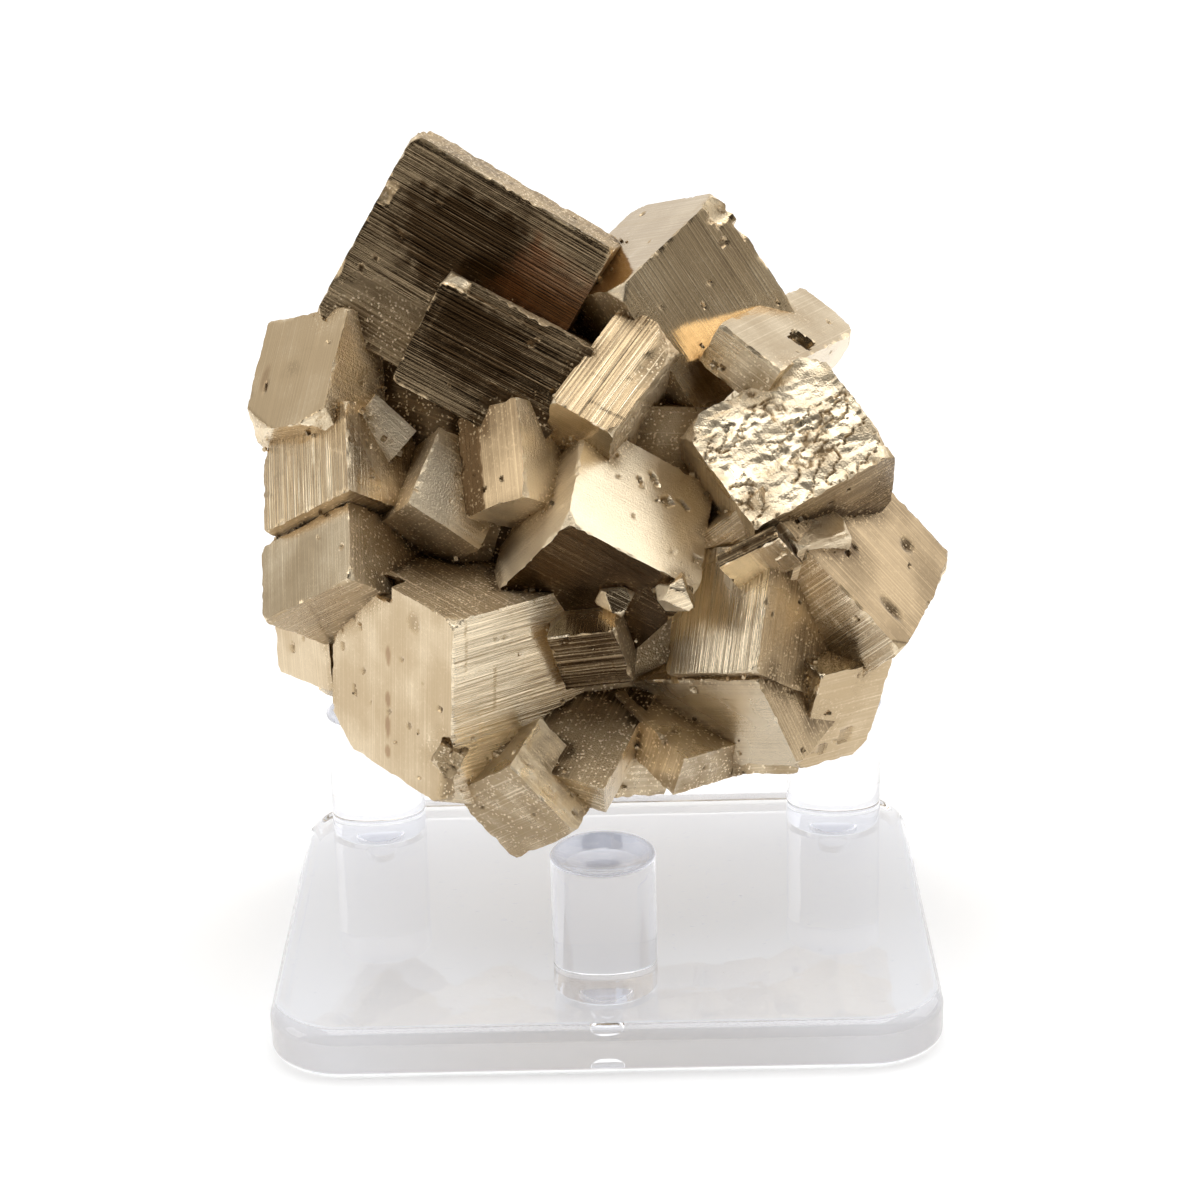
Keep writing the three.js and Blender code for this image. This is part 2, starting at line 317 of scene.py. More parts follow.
@dataclass(frozen=True)
class Crystal:
    """One block of the cluster.

    Attributes:
        name: What it is called.
        size: Its width across, depth and height.
        at: Its middle.
        turn: Heading about z, then tip about its own x, then lean about its own y, in degrees.
        skin: The skin of every face with none of its own.
        skins: Skins of single faces.
        cuts: Corners and edges broken off.
        spacing: Distance between its surface points.
        wear: How much its corners are worn, as a part of its least side.
    """

    name: str
    size: tuple[float, float, float]
    at: tuple[float, float, float]
    turn: tuple[float, float, float]
    skin: Skin = Skin()
    skins: tuple[tuple[Side, Skin], ...] = ()
    cuts: tuple[Cut, ...] = ()
    spacing: float = 0.3
    wear: float = 0.05

    @property
    def seed(self) -> int:
        """A fixed number of its own, from the letters of its name."""
        return sum((place + 1) * ord(letter) for place, letter in enumerate(self.name)) % 9973

    @property
    def half(self) -> np.ndarray:
        """Half its size."""
        return np.array(self.size) / 2.0

    @property
    def frame(self) -> np.ndarray:
        """Its three axes as columns: heading, times tip, times lean."""
        heading, tip, lean = np.radians(self.turn)
        return turned(2, heading) @ turned(0, tip) @ turned(1, lean)

    def skin_of(self, side: Side) -> Skin:
        """The skin of one face."""
        return dict(self.skins).get(side, self.skin)

    def world(self, points: np.ndarray) -> np.ndarray:
        """Points of its own frame in the model's, in millimetres."""
        return points @ self.frame.T + np.array(self.at)

    def gap(self, points: np.ndarray) -> np.ndarray:
        """Distance of points from its block.

        Args:
            points: Points in the model's frame, in millimetres.

        Returns:
            The distance of each, negative inside the block.
        """
        away = np.abs((points - np.array(self.at)) @ self.frame) - self.half
        outside = np.linalg.norm(np.maximum(away, 0.0), axis=1)
        return outside + np.minimum(away.max(axis=1), 0.0)


@dataclass
class Surface:
    """Arrays of one closed mesh.

    Attributes:
        points: Corner points, in metres.
        quads: Corner numbers of each four-sided face.
        lines: For every corner of every face, place along and across the growth lines.
        skin: For every corner of every face, tone, grain, line strength and stain.
    """

    points: np.ndarray
    quads: np.ndarray
    lines: np.ndarray
    skin: np.ndarray

    @staticmethod
    def joined(parts: list["Surface"]) -> "Surface":
        """Several surfaces as one, their corner numbers moved on.

        Args:
            parts: The surfaces.

        Returns:
            The one surface.
        """
        starts = np.cumsum([0] + [len(part.points) for part in parts[:-1]])
        quads = [part.quads + start for part, start in zip(parts, starts)]
        return Surface(
            points=np.concatenate([part.points for part in parts]),
            quads=np.concatenate(quads),
            lines=np.concatenate([part.lines for part in parts]),
            skin=np.concatenate([part.skin for part in parts]),
        )


# ---------------- Growing a crystal ----------------


@dataclass
class Face:
    """The points of one face of a crystal, and what has grown and worn on them.

    Attributes:
        skin: The face's skin.
        u: First coordinate of every point on the face, in millimetres.
        v: Second coordinate of every point.
        half: The face's half sizes.
        seed: Changes every pattern.
        level: True where the growth lines run along the first coordinate.
        line_bands: For each width of growth line, its share of the depth, its pitch and its reach.
        ledge_pitch: Mean width of a ledge.
        ledge_reach: Mean length of a ledge.
        hill_size: Length of a slow wave.
        least_bite: Width of the wear along an edge that isn't chipped.
        widest_bite: Width of the widest chip, for each millimetre of the skin's chips.
        bite_slope: Depth of a chip for each millimetre of its width.
        crumb_size: Size of the crumbling inside a mark.
        facet_sizes: For each size of facet on a broken face, its share of the depth, its two
            sides, and whether it is turned.
        cleft_depth: Depth of the clefts on a broken face, as a part of its relief.
        fresh_depth: Depth at which a chip shows fresh metal.
        fresh_tone: Tone of fresh metal.
        fresh_grain: Grain of fresh metal.
        line_gain: Strength of the fine growth lines for each millimetre of the skin's lines.
    """

    skin: Skin
    u: np.ndarray
    v: np.ndarray
    half: np.ndarray
    seed: int
    level: bool
    line_bands: tuple[tuple[float, float, float], ...] = ((0.45, 1.9, 34.0), (0.25, 0.9, 17.0))
    ledge_pitch: float = 5.5
    ledge_reach: float = 24.0
    hill_size: float = 6.0
    least_bite: float = 0.07
    widest_bite: float = 2.6
    bite_slope: float = 0.55
    crumb_size: float = 0.8
    facet_sizes: tuple[tuple[float, float, float, bool], ...] = (
        (0.38, 4.2, 3.3, True),
        (0.26, 1.9, 1.6, False),
        (0.22, 0.95, 0.85, True),
        (0.14, 0.5, 0.5, False),
    )
    cleft_depth: float = 0.3
    fresh_depth: float = 0.25
    fresh_tone: float = 0.95
    fresh_grain: float = 0.3
    line_gain: float = 8.0

    def growth(self) -> np.ndarray:
        """The growth lines at two widths, the ledges and the slow waves, added.

        Returns:
            Their depth at every point.
        """
        u, v, skin, seed = self.u, self.v, self.skin, self.seed
        along, across = (u, v) if self.level else (v, u)
        depth = skin.lines * sum(
            share * bands(along, across, pitch, reach, seed + place)
            for place, (share, pitch, reach) in enumerate(self.line_bands)
        )
        slanted = along + 0.6 * v
        depth += skin.ledges * bands(slanted, across, self.ledge_pitch, self.ledge_reach, seed + 3)
        return depth + skin.hills * rolling(u / self.hill_size, v / self.hill_size, seed + 4)

    def bites(self) -> np.ndarray:
        """Chips along the four edges.

        Each edge has a chamfer whose width follows two noises along that edge; the depth falls
        evenly from the edge to the chamfer's inner line.

        Returns:
            Their depth at every point.
        """
        u, v = self.u, self.v
        depth = np.zeros_like(u)
        for place, (near, run, reach) in enumerate(((u, v, self.half[0]), (v, u, self.half[1]))):
            from_edge = reach - np.abs(near)
            which = np.where(near > 0, 11, 23) + 31 * place
            slow = rolling(run / 2.4, which * 1.0, self.seed + 2)
            fast = facets(run / 0.7, which * 1.0, self.seed + 3)
            bitten = np.clip(slow * 0.7 + fast * 0.5 - 0.6, 0.0, 1.0)
            width = self.least_bite + self.skin.chips * self.widest_bite * bitten
            inside = np.clip(1.0 - from_edge / width, 0.0, 1.0)
            depth = np.maximum(depth, self.bite_slope * width * inside)
        return depth

    def weight(self, mark: Mark) -> np.ndarray:
        """How strongly a mark holds at every point.

        The distance from the mark's middle, as a part of its half size, has a slow noise added
        and is eased from 1 to 0 over the soft border.

        Args:
            mark: The mark.

        Returns:
            Its weight, 1 inside it and 0 outside.
        """
        turn = math.radians(mark.turn)
        du = self.u - mark.at[0]
        dv = self.v - mark.at[1]
        x = (du * math.cos(turn) + dv * math.sin(turn)) / mark.half[0]
        y = (dv * math.cos(turn) - du * math.sin(turn)) / mark.half[1]
        far = np.hypot(x, y) if mark.oval else np.maximum(np.abs(x), np.abs(y))
        border = mark.soft / min(mark.half)
        ragged = 0.35 * (rolling(self.u / 0.9, self.v / 0.9, self.seed + 61) - 0.5)
        far = far + ragged * min(1.0, border * 2.0)
        return 1.0 - ease(far, 1.0 - border, 1.0 + 0.25 * border)

    def small_pits(self) -> list[Mark]:
        """The small square pits, each at a place and of a size drawn for it.

        Returns:
            The pits.
        """
        draw = np.random.default_rng(self.seed)
        return [
            Mark(
                at=tuple(draw.uniform(-0.85, 0.85, 2) * self.half),
                half=tuple(draw.uniform(0.12, 0.5, 2)),
                depth=float(draw.uniform(0.1, 0.3)),
                soft=0.12,
                turn=float(draw.choice([0.0, 0.0, 45.0])),
                tone=-0.25,
                grain=0.4,
            )
            for _ in range(self.skin.pits)
        ]

    def marked(self) -> np.ndarray:
        """What the pits and the marks add.

        Each adds its own depth, tone, grain and stain times its weight; inside a mark that is
        not a pit the depth is uneven, by facets.

        Returns:
            Four rows: added depth, tone, grain and stain at every point.
        """
        added = np.zeros((4, len(self.u)))
        size = self.crumb_size
        crumble = 0.75 + 0.5 * facets(self.u / size, self.v / size, self.seed + 71)
        marks = [(pit, np.ones_like(crumble)) for pit in self.small_pits()]
        marks += [(mark, crumble) for mark in self.skin.marks]
        for mark, unevenness in marks:
            own = np.array([mark.depth, mark.tone, mark.grain, mark.stain])[:, None] * self.weight(mark)
            own[0] *= unevenness
            added += own
        return added

    def fracture(self) -> np.ndarray:
        """What a break adds.

        The relief is the sum of facets at four sizes, two of them turned, and fades near the
        face's edges. A cleft runs where a fifth noise crosses one half, within patches of a sixth,
        and is painted darker as well as cut in: painted shade.

        Returns:
            Four rows: added depth, tone, grain and stain at every point.
        """
        u, v, seed = self.u, self.v, self.seed
        broken = self.skin.broken
        tilt = u * 0.8 + v * 0.6
        cross = v * 0.8 - u * 0.6
        rough = np.zeros_like(u)
        for place, (share, wide, tall, turned) in enumerate(self.facet_sizes):
            x, y = (tilt, cross) if turned else (u, v)
            rough += share * facets(x / wide, y / tall, seed + 21 + place)
        patch = facets(u / 2.6, v / 1.8, seed + 25)
        wander = 0.7 * facets(tilt / 3.0, cross / 1.5, seed + 26)
        wander = wander + 0.3 * facets(u / 0.9, v / 0.7, seed + 27)
        cleft = 1.0 - ease(np.abs(wander - 0.5), 0.008, 0.045)
        cleft *= ease(rolling(u / 4.5, v / 3.5, seed + 28), 0.4, 0.62)
        cleft *= float(ease(np.array(broken), 0.6, 1.0))
        inside = ease(np.minimum(self.half[0] - np.abs(u), self.half[1] - np.abs(v)), -0.5, 1.5)
        depth = broken * (rough * (0.35 + 0.65 * inside) + self.cleft_depth * cleft)
        # Painted shade: the clefts are made darker as well as cut in.
        tone = 0.2 * (patch - 0.45) - 0.3 * cleft
        grain = 0.7 * (1.0 - patch) + 0.3 * cleft
        return np.stack([depth, tone, grain, np.zeros_like(u)])

    def relief(self) -> tuple[np.ndarray, np.ndarray]:
        """All that is taken off the face, and its skin values.

        Returns:
            The depth at every point, and tone, grain, line strength and stain at every point.
        """
        skin = self.skin
        bites = self.bites()
        added = self.marked()
        if skin.broken > 0.0:
            added += self.fracture()
        fresh = np.clip(bites / self.fresh_depth, 0.0, 1.0)
        tone = skin.tone + added[1]
        tone = tone + fresh * (self.fresh_tone - tone) * 0.5
        grain = skin.grain + added[2] + fresh * self.fresh_grain
        strength = np.clip(skin.lines * self.line_gain, 0.1, 1.0) * (1.0 - 0.7 * fresh)
        values = np.stack([tone, grain, strength, added[3]], axis=-1)
        return self.growth() + bites + added[0], values


@dataclass
class Grower:
    """Works out the surface of one crystal among its neighbours, face by face.

    Attributes:
        crystal: The crystal.
        neighbours: The other crystals of the cluster.
        seam_grain: How far from a neighbour the fine grain reaches.
        painted_seam_shade: How much darker the surface is painted beside a neighbour: painted shade.
        seam_rough: How much grainier it is there.
        break_depth: Depth at which a broken corner shows fresh metal.
        break_tone: Tone added by fresh metal.
        break_grain: Grain added by fresh metal.
        corner_tilt: How far the wear of a corner turns off its diagonal.
    """

    crystal: Crystal
    neighbours: list[Crystal]
    seam_grain: float = 2.0
    painted_seam_shade: float = 0.3
    seam_rough: float = 0.7
    break_depth: float = 0.3
    break_tone: float = 0.25
    break_grain: float = 0.6
    corner_tilt: float = 0.35

    def lattice(self) -> tuple[np.ndarray, np.ndarray, np.ndarray]:
        """Points on the outside of a block of cells.

        Returns:
            The points from -1 to 1 on each axis, the cell counts, and the number of each point.
        """
        sizes = np.array(self.crystal.size)
        cells = np.maximum(np.round(sizes / self.crystal.spacing).astype(int), 3)
        shape = tuple(cells + 1)
        outside = np.ones(shape, dtype=bool)
        outside[1:-1, 1:-1, 1:-1] = False
        number = np.full(shape, -1, dtype=np.int64)
        number[outside] = np.arange(outside.sum())
        unit = np.argwhere(outside) / cells * 2.0 - 1.0
        return unit, cells, number

    def relief(self, side: Side, u: np.ndarray, v: np.ndarray) -> tuple[np.ndarray, np.ndarray]:
        """Depth taken off one side of the block, and its skin values.

        Args:
            side: The side.
            u: First coordinate on it, in millimetres.
            v: Second coordinate on it, in millimetres.

        Returns:
            The depth at every point, and tone, grain, line strength and stain at every point.
        """
        axis, sign = side.value
        first, second = (axis + 1) % 3, (axis + 2) % 3
        skin = self.crystal.skin_of(side)
        half = self.crystal.half[[first, second]]
        seed = self.crystal.seed + 100 * axis + 37 * sign
        level = skin.run is not None and skin.run.value == first
        return Face(skin, u, v, half, seed, level).relief()

    def cut_corners(self, points: np.ndarray) -> tuple[np.ndarray, np.ndarray]:
        """Presses whatever stands beyond each break plane back onto it.

        A plane faces away from the middle; a point's height over it, with facets added for the
        break's relief, is taken off along the plane's direction.

        Args:
            points: Points in the crystal's frame.

        Returns:
            The moved points, and how far each was moved.
        """
        crystal = self.crystal
        draw = np.random.default_rng(crystal.seed + 5)
        cuts = list(crystal.cuts)
        least = min(crystal.size)
        for signs in np.array(np.meshgrid([-1, 1], [-1, 1], [-1, 1])).reshape(3, -1).T:
            toward = signs + draw.uniform(-self.corner_tilt, self.corner_tilt, 3)
            depth = least * crystal.wear * draw.uniform(0.3, 1.6)
            cuts.append(Cut(toward=tuple(toward), depth=float(depth), rough=0.2))
        moved = np.zeros(len(points))
        for number, cut in enumerate(cuts):
            toward = np.array(cut.toward) / np.linalg.norm(cut.toward)
            reach = float(np.abs(toward) @ crystal.half)
            side_one = np.cross(toward, [0.31, 0.52, 0.79])
            side_one /= np.linalg.norm(side_one)
            side_two = np.cross(toward, side_one)
            x = points @ side_one
            y = points @ side_two
            rough = 0.6 * facets(x / 1.9, y / 1.4, crystal.seed + number)
            rough += 0.3 * facets(x / 0.7, y / 0.6, crystal.seed + number + 40)
            over = points @ toward - (reach - cut.depth) + cut.rough * (rough - 0.3)
            over = np.where(points @ toward > reach - cut.depth - cut.rough, over, 0.0)
            over = np.maximum(over, 0.0)
            points = points - over[:, None] * toward
            moved = np.maximum(moved, over)
        return points, moved

    def seam(self, points: np.ndarray) -> np.ndarray:
        """How close each point is to a neighbour, made uneven by a slow noise.

        Args:
            points: Points in the model's frame, in millimetres.

        Returns:
            1 where it meets a neighbour, falling to 0 at the seam's reach.
        """
        near = np.full(len(points), 99.0)
        for other in self.neighbours:
            away = np.linalg.norm(np.array(other.at) - np.array(self.crystal.at))
            if away < (np.linalg.norm(other.size) + np.linalg.norm(self.crystal.size)) / 2 + 3:
                near = np.minimum(near, np.maximum(other.gap(points), 0.0))
        close = 1.0 - np.clip(near / self.seam_grain, 0.0, 1.0)
        speckle = rolling(points[:, 0] / 1.7 + points[:, 2] / 2.3, points[:, 1] / 1.9 + 40.0, 3)
        return np.clip(close * (0.55 + 0.9 * speckle), 0.0, 1.0)

    def shaped(self, unit: np.ndarray) -> tuple[np.ndarray, dict[Side, np.ndarray]]:
        """Lays the reliefs of the six faces on the block.

        On each axis a point's coordinate is its place from -1 to 1 times the half size less the
        relief of the face it leans to, so that two faces always meet in one edge. A second round
        reads each relief where the first round laid the points, which keeps the lines straight.

        Args:
            unit: Points from -1 to 1 on each axis.

        Returns:
            The points in the crystal's frame, and the skin values of every face.
        """
        half = self.crystal.half
        points = unit * half
        skins: dict[Side, np.ndarray] = {}
        for _ in range(2):
            laid = points.copy()
            for axis in range(3):
                u = laid[:, (axis + 1) % 3]
                v = laid[:, (axis + 2) % 3]
                below, above = (side for side in Side if side.value[0] == axis)
                depth_below, skins[below] = self.relief(below, u, v)
                depth_above, skins[above] = self.relief(above, u, v)
                depth = np.where(unit[:, axis] > 0, depth_above, depth_below)
                points[:, axis] = unit[:, axis] * (half[axis] - depth)
        return points, skins

    @staticmethod
    def side_faces(side: Side, cells: np.ndarray, number: np.ndarray) -> np.ndarray:
        """The four-sided faces on one side of the block of cells.

        Args:
            side: The side.
            cells: Cell counts on each axis.
            number: Number of each point.

        Returns:
            Four point numbers for each, counter-clockwise seen from outside.
        """
        axis, sign = side.value
        index = [slice(None)] * 3
        index[axis] = cells[axis] if sign > 0 else 0
        face = number[tuple(index)]
        if (axis + 1) % 3 > (axis + 2) % 3:
            face = face.T
        corners = np.stack([face[:-1, :-1], face[1:, :-1], face[1:, 1:], face[:-1, 1:]], axis=-1)
        corners = corners.reshape(-1, 4)
        return corners[:, ::-1] if sign < 0 else corners

    def surface(self) -> Surface:
        """The crystal's closed surface, turned and moved to its place.

        The faces' reliefs are laid on the block and the breaks pressed in after that. Fresh
        breaks are paler and grainier, and the seams with the neighbours grainier and darker with
        painted shade.

        Returns:
            The surface, in metres.
        """
        crystal = self.crystal
        unit, cells, number = self.lattice()
        points, skins = self.shaped(unit)
        points, moved = self.cut_corners(points)
        world = crystal.world(points)
        seam = self.seam(world)
        fresh = np.clip(moved / self.break_depth, 0.0, 1.0)

        quads, lines, values = [], [], []
        shift = np.random.default_rng(crystal.seed + 8).uniform(20.0, 900.0, 12)
        for place, side in enumerate(Side):
            corners = self.side_faces(side, cells, number)
            skin = crystal.skin_of(side)
            first, second = (side.value[0] + 1) % 3, (side.value[0] + 2) % 3
            run = skin.run.value if skin.run is not None else second
            other = first if run == second else second
            where = points[corners]
            along = where[..., run] + shift[place]
            across = where[..., other] + shift[place + 6]
            value = skins[side][corners].copy()
            rough = 0.25 + skin.grain
            # Painted shade: the surface is made darker where it meets a neighbour.
            shade = self.painted_seam_shade * rough * seam[corners] ** 2
            value[..., 0] += self.break_tone * fresh[corners] - shade
            value[..., 1] += self.break_grain * fresh[corners] + self.seam_rough * rough * seam[corners]
            value[..., 2] *= 1.0 - 0.7 * fresh[corners]
            quads.append(corners)
            lines.append(np.stack([along, across], axis=-1))
            values.append(np.clip(value, 0.0, 1.0))
        return Surface(
            points=in_metres(world),
            quads=np.concatenate(quads),
            lines=np.concatenate(lines),
            skin=np.concatenate(values),
        )


# ---------------- The crystals of this cluster ----------------

PLAIN = Skin(lines=0.03, ledges=0.05, grain=0.08, tone=0.85)
SMOOTH = Skin(lines=0.02, ledges=0.03, pits=3, grain=0.04, tone=0.66, chips=0.35)
DRUSY = Skin(lines=0.03, ledges=0.1, pits=0, grain=0.85, tone=0.72, hills=0.4, chips=0.6)
# A paler copy of DRUSY for faces that sit deep among the others: painted light.
PAINTED_LIT_DRUSY = Skin(lines=0.03, ledges=0.1, pits=0, grain=0.7, tone=1.0, hills=0.4, chips=0.6)
HIDDEN = Skin(lines=0.04, ledges=0.12, pits=4, grain=0.3, tone=0.86, chips=0.5)


def crown_group() -> list[Crystal]:
    """The big dark plate at the top left and the one standing before it.

    Returns:
        Its crystals.
    """
    # The front's low tone and its big dark oval are painted dark reflection; the other marks are chips, a
    # stain and a grainy patch.
    face = Skin(
        lines=0.07, run=Run.ACROSS, ledges=0.1, chips=0.45, pits=9, grain=0.16, tone=0.34,
        marks=(
            Mark((4.5, -1.5), (8.0, 11.5), soft=5.0, oval=True, tone=-0.34, grain=-0.1),
            Mark((12.9, -1.0), (0.6, 16.0), depth=0.5, soft=0.9, tone=0.7, grain=0.8),
            Mark((4.8, -13.4), (1.4, 1.0), depth=0.8, soft=0.8, tone=0.45, grain=0.9),
            Mark((0.5, 8.8), (9.0, 6.4), soft=2.4, turn=14.0, tone=0.1, grain=-0.2, stain=0.95),
            Mark((-9.0, -6.0), (5.0, 8.0), soft=4.0, oval=True, tone=0.06, grain=0.7),
        ),
    )
    rim = Skin(lines=0.05, broken=0.5, chips=0.9, tone=0.5, grain=0.9)
    # Its low tone and big dark oval are painted dark reflection too.
    step_face = Skin(
        lines=0.08, run=Run.ACROSS, ledges=0.12, chips=0.5, pits=8, grain=0.14, tone=0.22,
        marks=(
            Mark((1.0, -3.0), (5.5, 7.0), soft=3.5, oval=True, tone=-0.2),
            Mark((6.6, -8.4), (1.0, 2.0), depth=0.6, soft=0.5, tone=0.85, grain=0.7),
            Mark((-5.0, 6.0), (3.5, 5.0), soft=2.5, oval=True, tone=0.25, grain=0.7),
        ),
    )
    return [
        Crystal(
            "crown", (28, 14, 26), (-15, 23, 80), (-6, -11, 30), skin=Skin(tone=0.6, grain=0.3),
            skins=((Side.FRONT, face), (Side.TOP, rim)),
            cuts=(Cut((-1, -0.6, -1), 1.1), Cut((-1, -0.4, 1), 1.0)), spacing=0.26,
        ),
        Crystal(
            "crown_step", (20, 12, 15), (-11.5, 12, 72.5), (-4, -15, 28),
            skin=Skin(tone=0.6, grain=0.3), skins=((Side.FRONT, step_face), (Side.TOP, rim)),
            cuts=(Cut((-1, -0.5, 1), 1.4),), spacing=0.24,
        ),
    ]


def left_group() -> list[Crystal]:
    """The column of crystals down the left side.

    Returns:
        Its crystals.
    """
    beige = Skin(lines=0.018, run=Run.TALL, ledges=0.03, pits=2, grain=0.04, tone=0.7, chips=0.35)
    upper = Skin(
        lines=0.018, run=Run.TALL, ledges=0.03, pits=1, grain=0.04, tone=0.57,
        marks=(
            Mark((0.5, 0.0), (2.6, 2.0), soft=1.8, oval=True, tone=-0.22, grain=0.1),
            Mark((4.8, -0.5), (0.8, 2.6), soft=0.5, oval=True, tone=-0.2, stain=0.25),
            Mark((4.3, -1.8), (0.3, 1.1), depth=0.2, soft=0.2, oval=True, tone=-0.4, grain=0.4),
        ),
    )
    streaked = Skin(
        lines=0.1, run=Run.TALL, ledges=0.1, pits=0, grain=0.05, tone=0.58,
        marks=(
            Mark((3.5, 1.5), (4.8, 0.28), soft=0.15, tone=0.4),
            Mark((-2.0, -1.2), (3.0, 0.16), soft=0.12, tone=0.35),
            Mark((-1.0, 4.0), (5.2, 0.2), soft=0.12, tone=0.35),
        ),
    )
    under = Skin(lines=0.08, run=Run.ACROSS, ledges=0.2, pits=0, grain=0.3, tone=0.56)
    return [
        Crystal(
            "left_upper", (14, 14, 15.5), (-32.5, 18.5, 67), (55, -16, 40), skin=PLAIN,
            skins=((Side.LEFT, upper), (Side.FRONT, Skin(grain=0.65, tone=1.0, hills=0.3))),
            cuts=(Cut((-1, 0.6, -1), 2.2, 0.5), Cut((-0.5, -0.4, -1), 1.4, 0.8)), spacing=0.26,
        ),
        Crystal(
            "left_middle", (15.5, 14, 12.5), (-30.5, 11.5, 58), (-51, -29, -35), skin=HIDDEN,
            skins=((Side.FRONT, streaked), (Side.UNDER, under)), cuts=(Cut((-1, -0.5, 0.5), 1.4, 0.8),),
            spacing=0.26,
        ),
        Crystal(
            "left_lower", (16, 14, 10.5), (-30.5, 5.5, 47.5), (-51, -31, -36), skin=HIDDEN,
            skins=((Side.FRONT, beige), (Side.RIGHT, DRUSY), (Side.UNDER, under)), spacing=0.26,
        ),
        Crystal("left_tab", (10, 12.5, 9), (-33.5, 14.5, 36), (39, -4, 1), skin=SMOOTH),
        Crystal(
            "pale_corner", (7, 8, 7), (-26.5, 12, 64), (5, -17, 44),
            skin=Skin(grain=0.5, tone=1.0, hills=0.4, chips=0.6),
        ),
    ]


def upright_group() -> list[Crystal]:
    """The big cube at the lower left, with its pitted left face and lined right face.

    Returns:
        Its crystals.
    """
    ovals = tuple(
        Mark((0.5, z), (0.55, tall), soft=0.18, oval=True, tone=-0.25, grain=-0.1, stain=0.45)
        for z, tall in ((3.2, 1.5), (-2.6, 1.2), (-6.3, 1.7), (-9.6, 0.9))
    )
    left = Skin(
        lines=0.016, run=Run.TALL, ledges=0.03, pits=26, grain=0.05, tone=0.66,
        marks=ovals + (
            Mark((-4.6, 9.4), (1.3, 1.3), depth=0.15, soft=0.8, oval=True, tone=-0.15, grain=0.5),
            Mark((2.0, 11.8), (1.8, 1.6), depth=2.2, soft=0.3, tone=-0.7, grain=0.3),
            Mark((-11.4, -9.0), (1.4, 3.6), depth=0.7, soft=0.8, tone=-0.15, grain=0.9),
        ),
    )
    right = Skin(lines=0.11, run=Run.ACROSS, ledges=0.1, pits=9, grain=0.06, tone=1.0)
    top = Skin(lines=0.1, run=Run.DEEP, ledges=0.2, pits=0, grain=0.8, tone=0.66)
    return [
        Crystal(
            "big_upright", (25, 25, 25), (-15.5, 4, 37.5), (39, 4, 1), skin=HIDDEN,
            skins=((Side.LEFT, left), (Side.FRONT, right), (Side.TOP, top)),
            cuts=(
                Cut((-1, 1, -1.2), 2.4, 0.4),
                Cut((-1, -1, -1), 1.8, 0.7),
                Cut((-1, 0.9, 1.1), 2.6, 0.3),
            ),
            spacing=0.27,
        ),
        Crystal(
            "gnarl", (4, 6, 4), (-18, -12, 31.5), (-4, -6, 29),
            skin=Skin(broken=0.8, grain=0.5, tone=0.6), spacing=0.22, wear=0.3,
        ),
    ]


def peak_group() -> list[Crystal]:
    """The cube at the top right, the shelf beside it and the lined wedge below.

    Returns:
        Its crystals.
    """
    front = Skin(
        lines=0.028, run=Run.TALL, ledges=0.05, pits=7, grain=0.08, tone=0.58,
        marks=(
            Mark((8.6, 8.6), (2.0, 1.6), depth=1.1, soft=0.7, tone=0.5, grain=0.9),
            Mark((4.4, 10.2), (1.3, 0.9), depth=1.2, soft=0.5, tone=0.5, grain=0.8),
            Mark((-9.0, 2.0), (2.0, 9.0), soft=2.0, tone=0.1, grain=0.6),
        ),
    )
    pale = Skin(lines=0.02, ledges=0.04, pits=2, grain=0.05, tone=0.6, chips=0.5)
    shelf = Skin(
        lines=0.02, ledges=0.04, pits=4, grain=0.05, tone=0.68,
        marks=(Mark((2.2, -1.2), (1.5, 1.5), depth=1.1, soft=0.25, turn=12.0, tone=-0.4, grain=0.5),),
    )
    wedge = Skin(
        lines=0.16, run=Run.DEEP, ledges=0.2, pits=0, grain=0.12, tone=0.44,
        marks=(Mark((3.2, 4.0), (1.6, 4.5), depth=0.5, soft=0.9, tone=0.15, grain=0.8),),
    )
    return [
        Crystal(
            "peak", (20, 18, 20), (9.5, 24, 75), (35, -16, -28), skin=PLAIN,
            skins=((Side.FRONT, front), (Side.TOP, pale), (Side.LEFT, DRUSY)),
            cuts=(Cut((1, -1, 1), 1.2, 0.8), Cut((1, -0.8, -0.2), 0.6, 0.6)), spacing=0.27,
        ),
        Crystal(
            "right_shelf", (9.5, 23.5, 6), (23, 20, 71.5), (-28, -3, 31), skin=PLAIN,
            skins=((Side.TOP, shelf), (Side.FRONT, Skin(grain=0.3, tone=0.75))),
            cuts=(Cut((1, 0.5, 0.6), 1.2, 0.5),),
        ),
        Crystal(
            "striped_wedge", (9, 17, 12), (2.5, 8.5, 69), (-36, 29, 27), skin=PLAIN,
            skins=((Side.TOP, wedge), (Side.RIGHT, Skin(broken=0.9, grain=0.6, tone=1.0))),
            cuts=(Cut((1, 0.8, 1), 2.8, 0.9), Cut((1, -0.4, 0.9), 0.9, 0.6)), spacing=0.22,
        ),
    ]


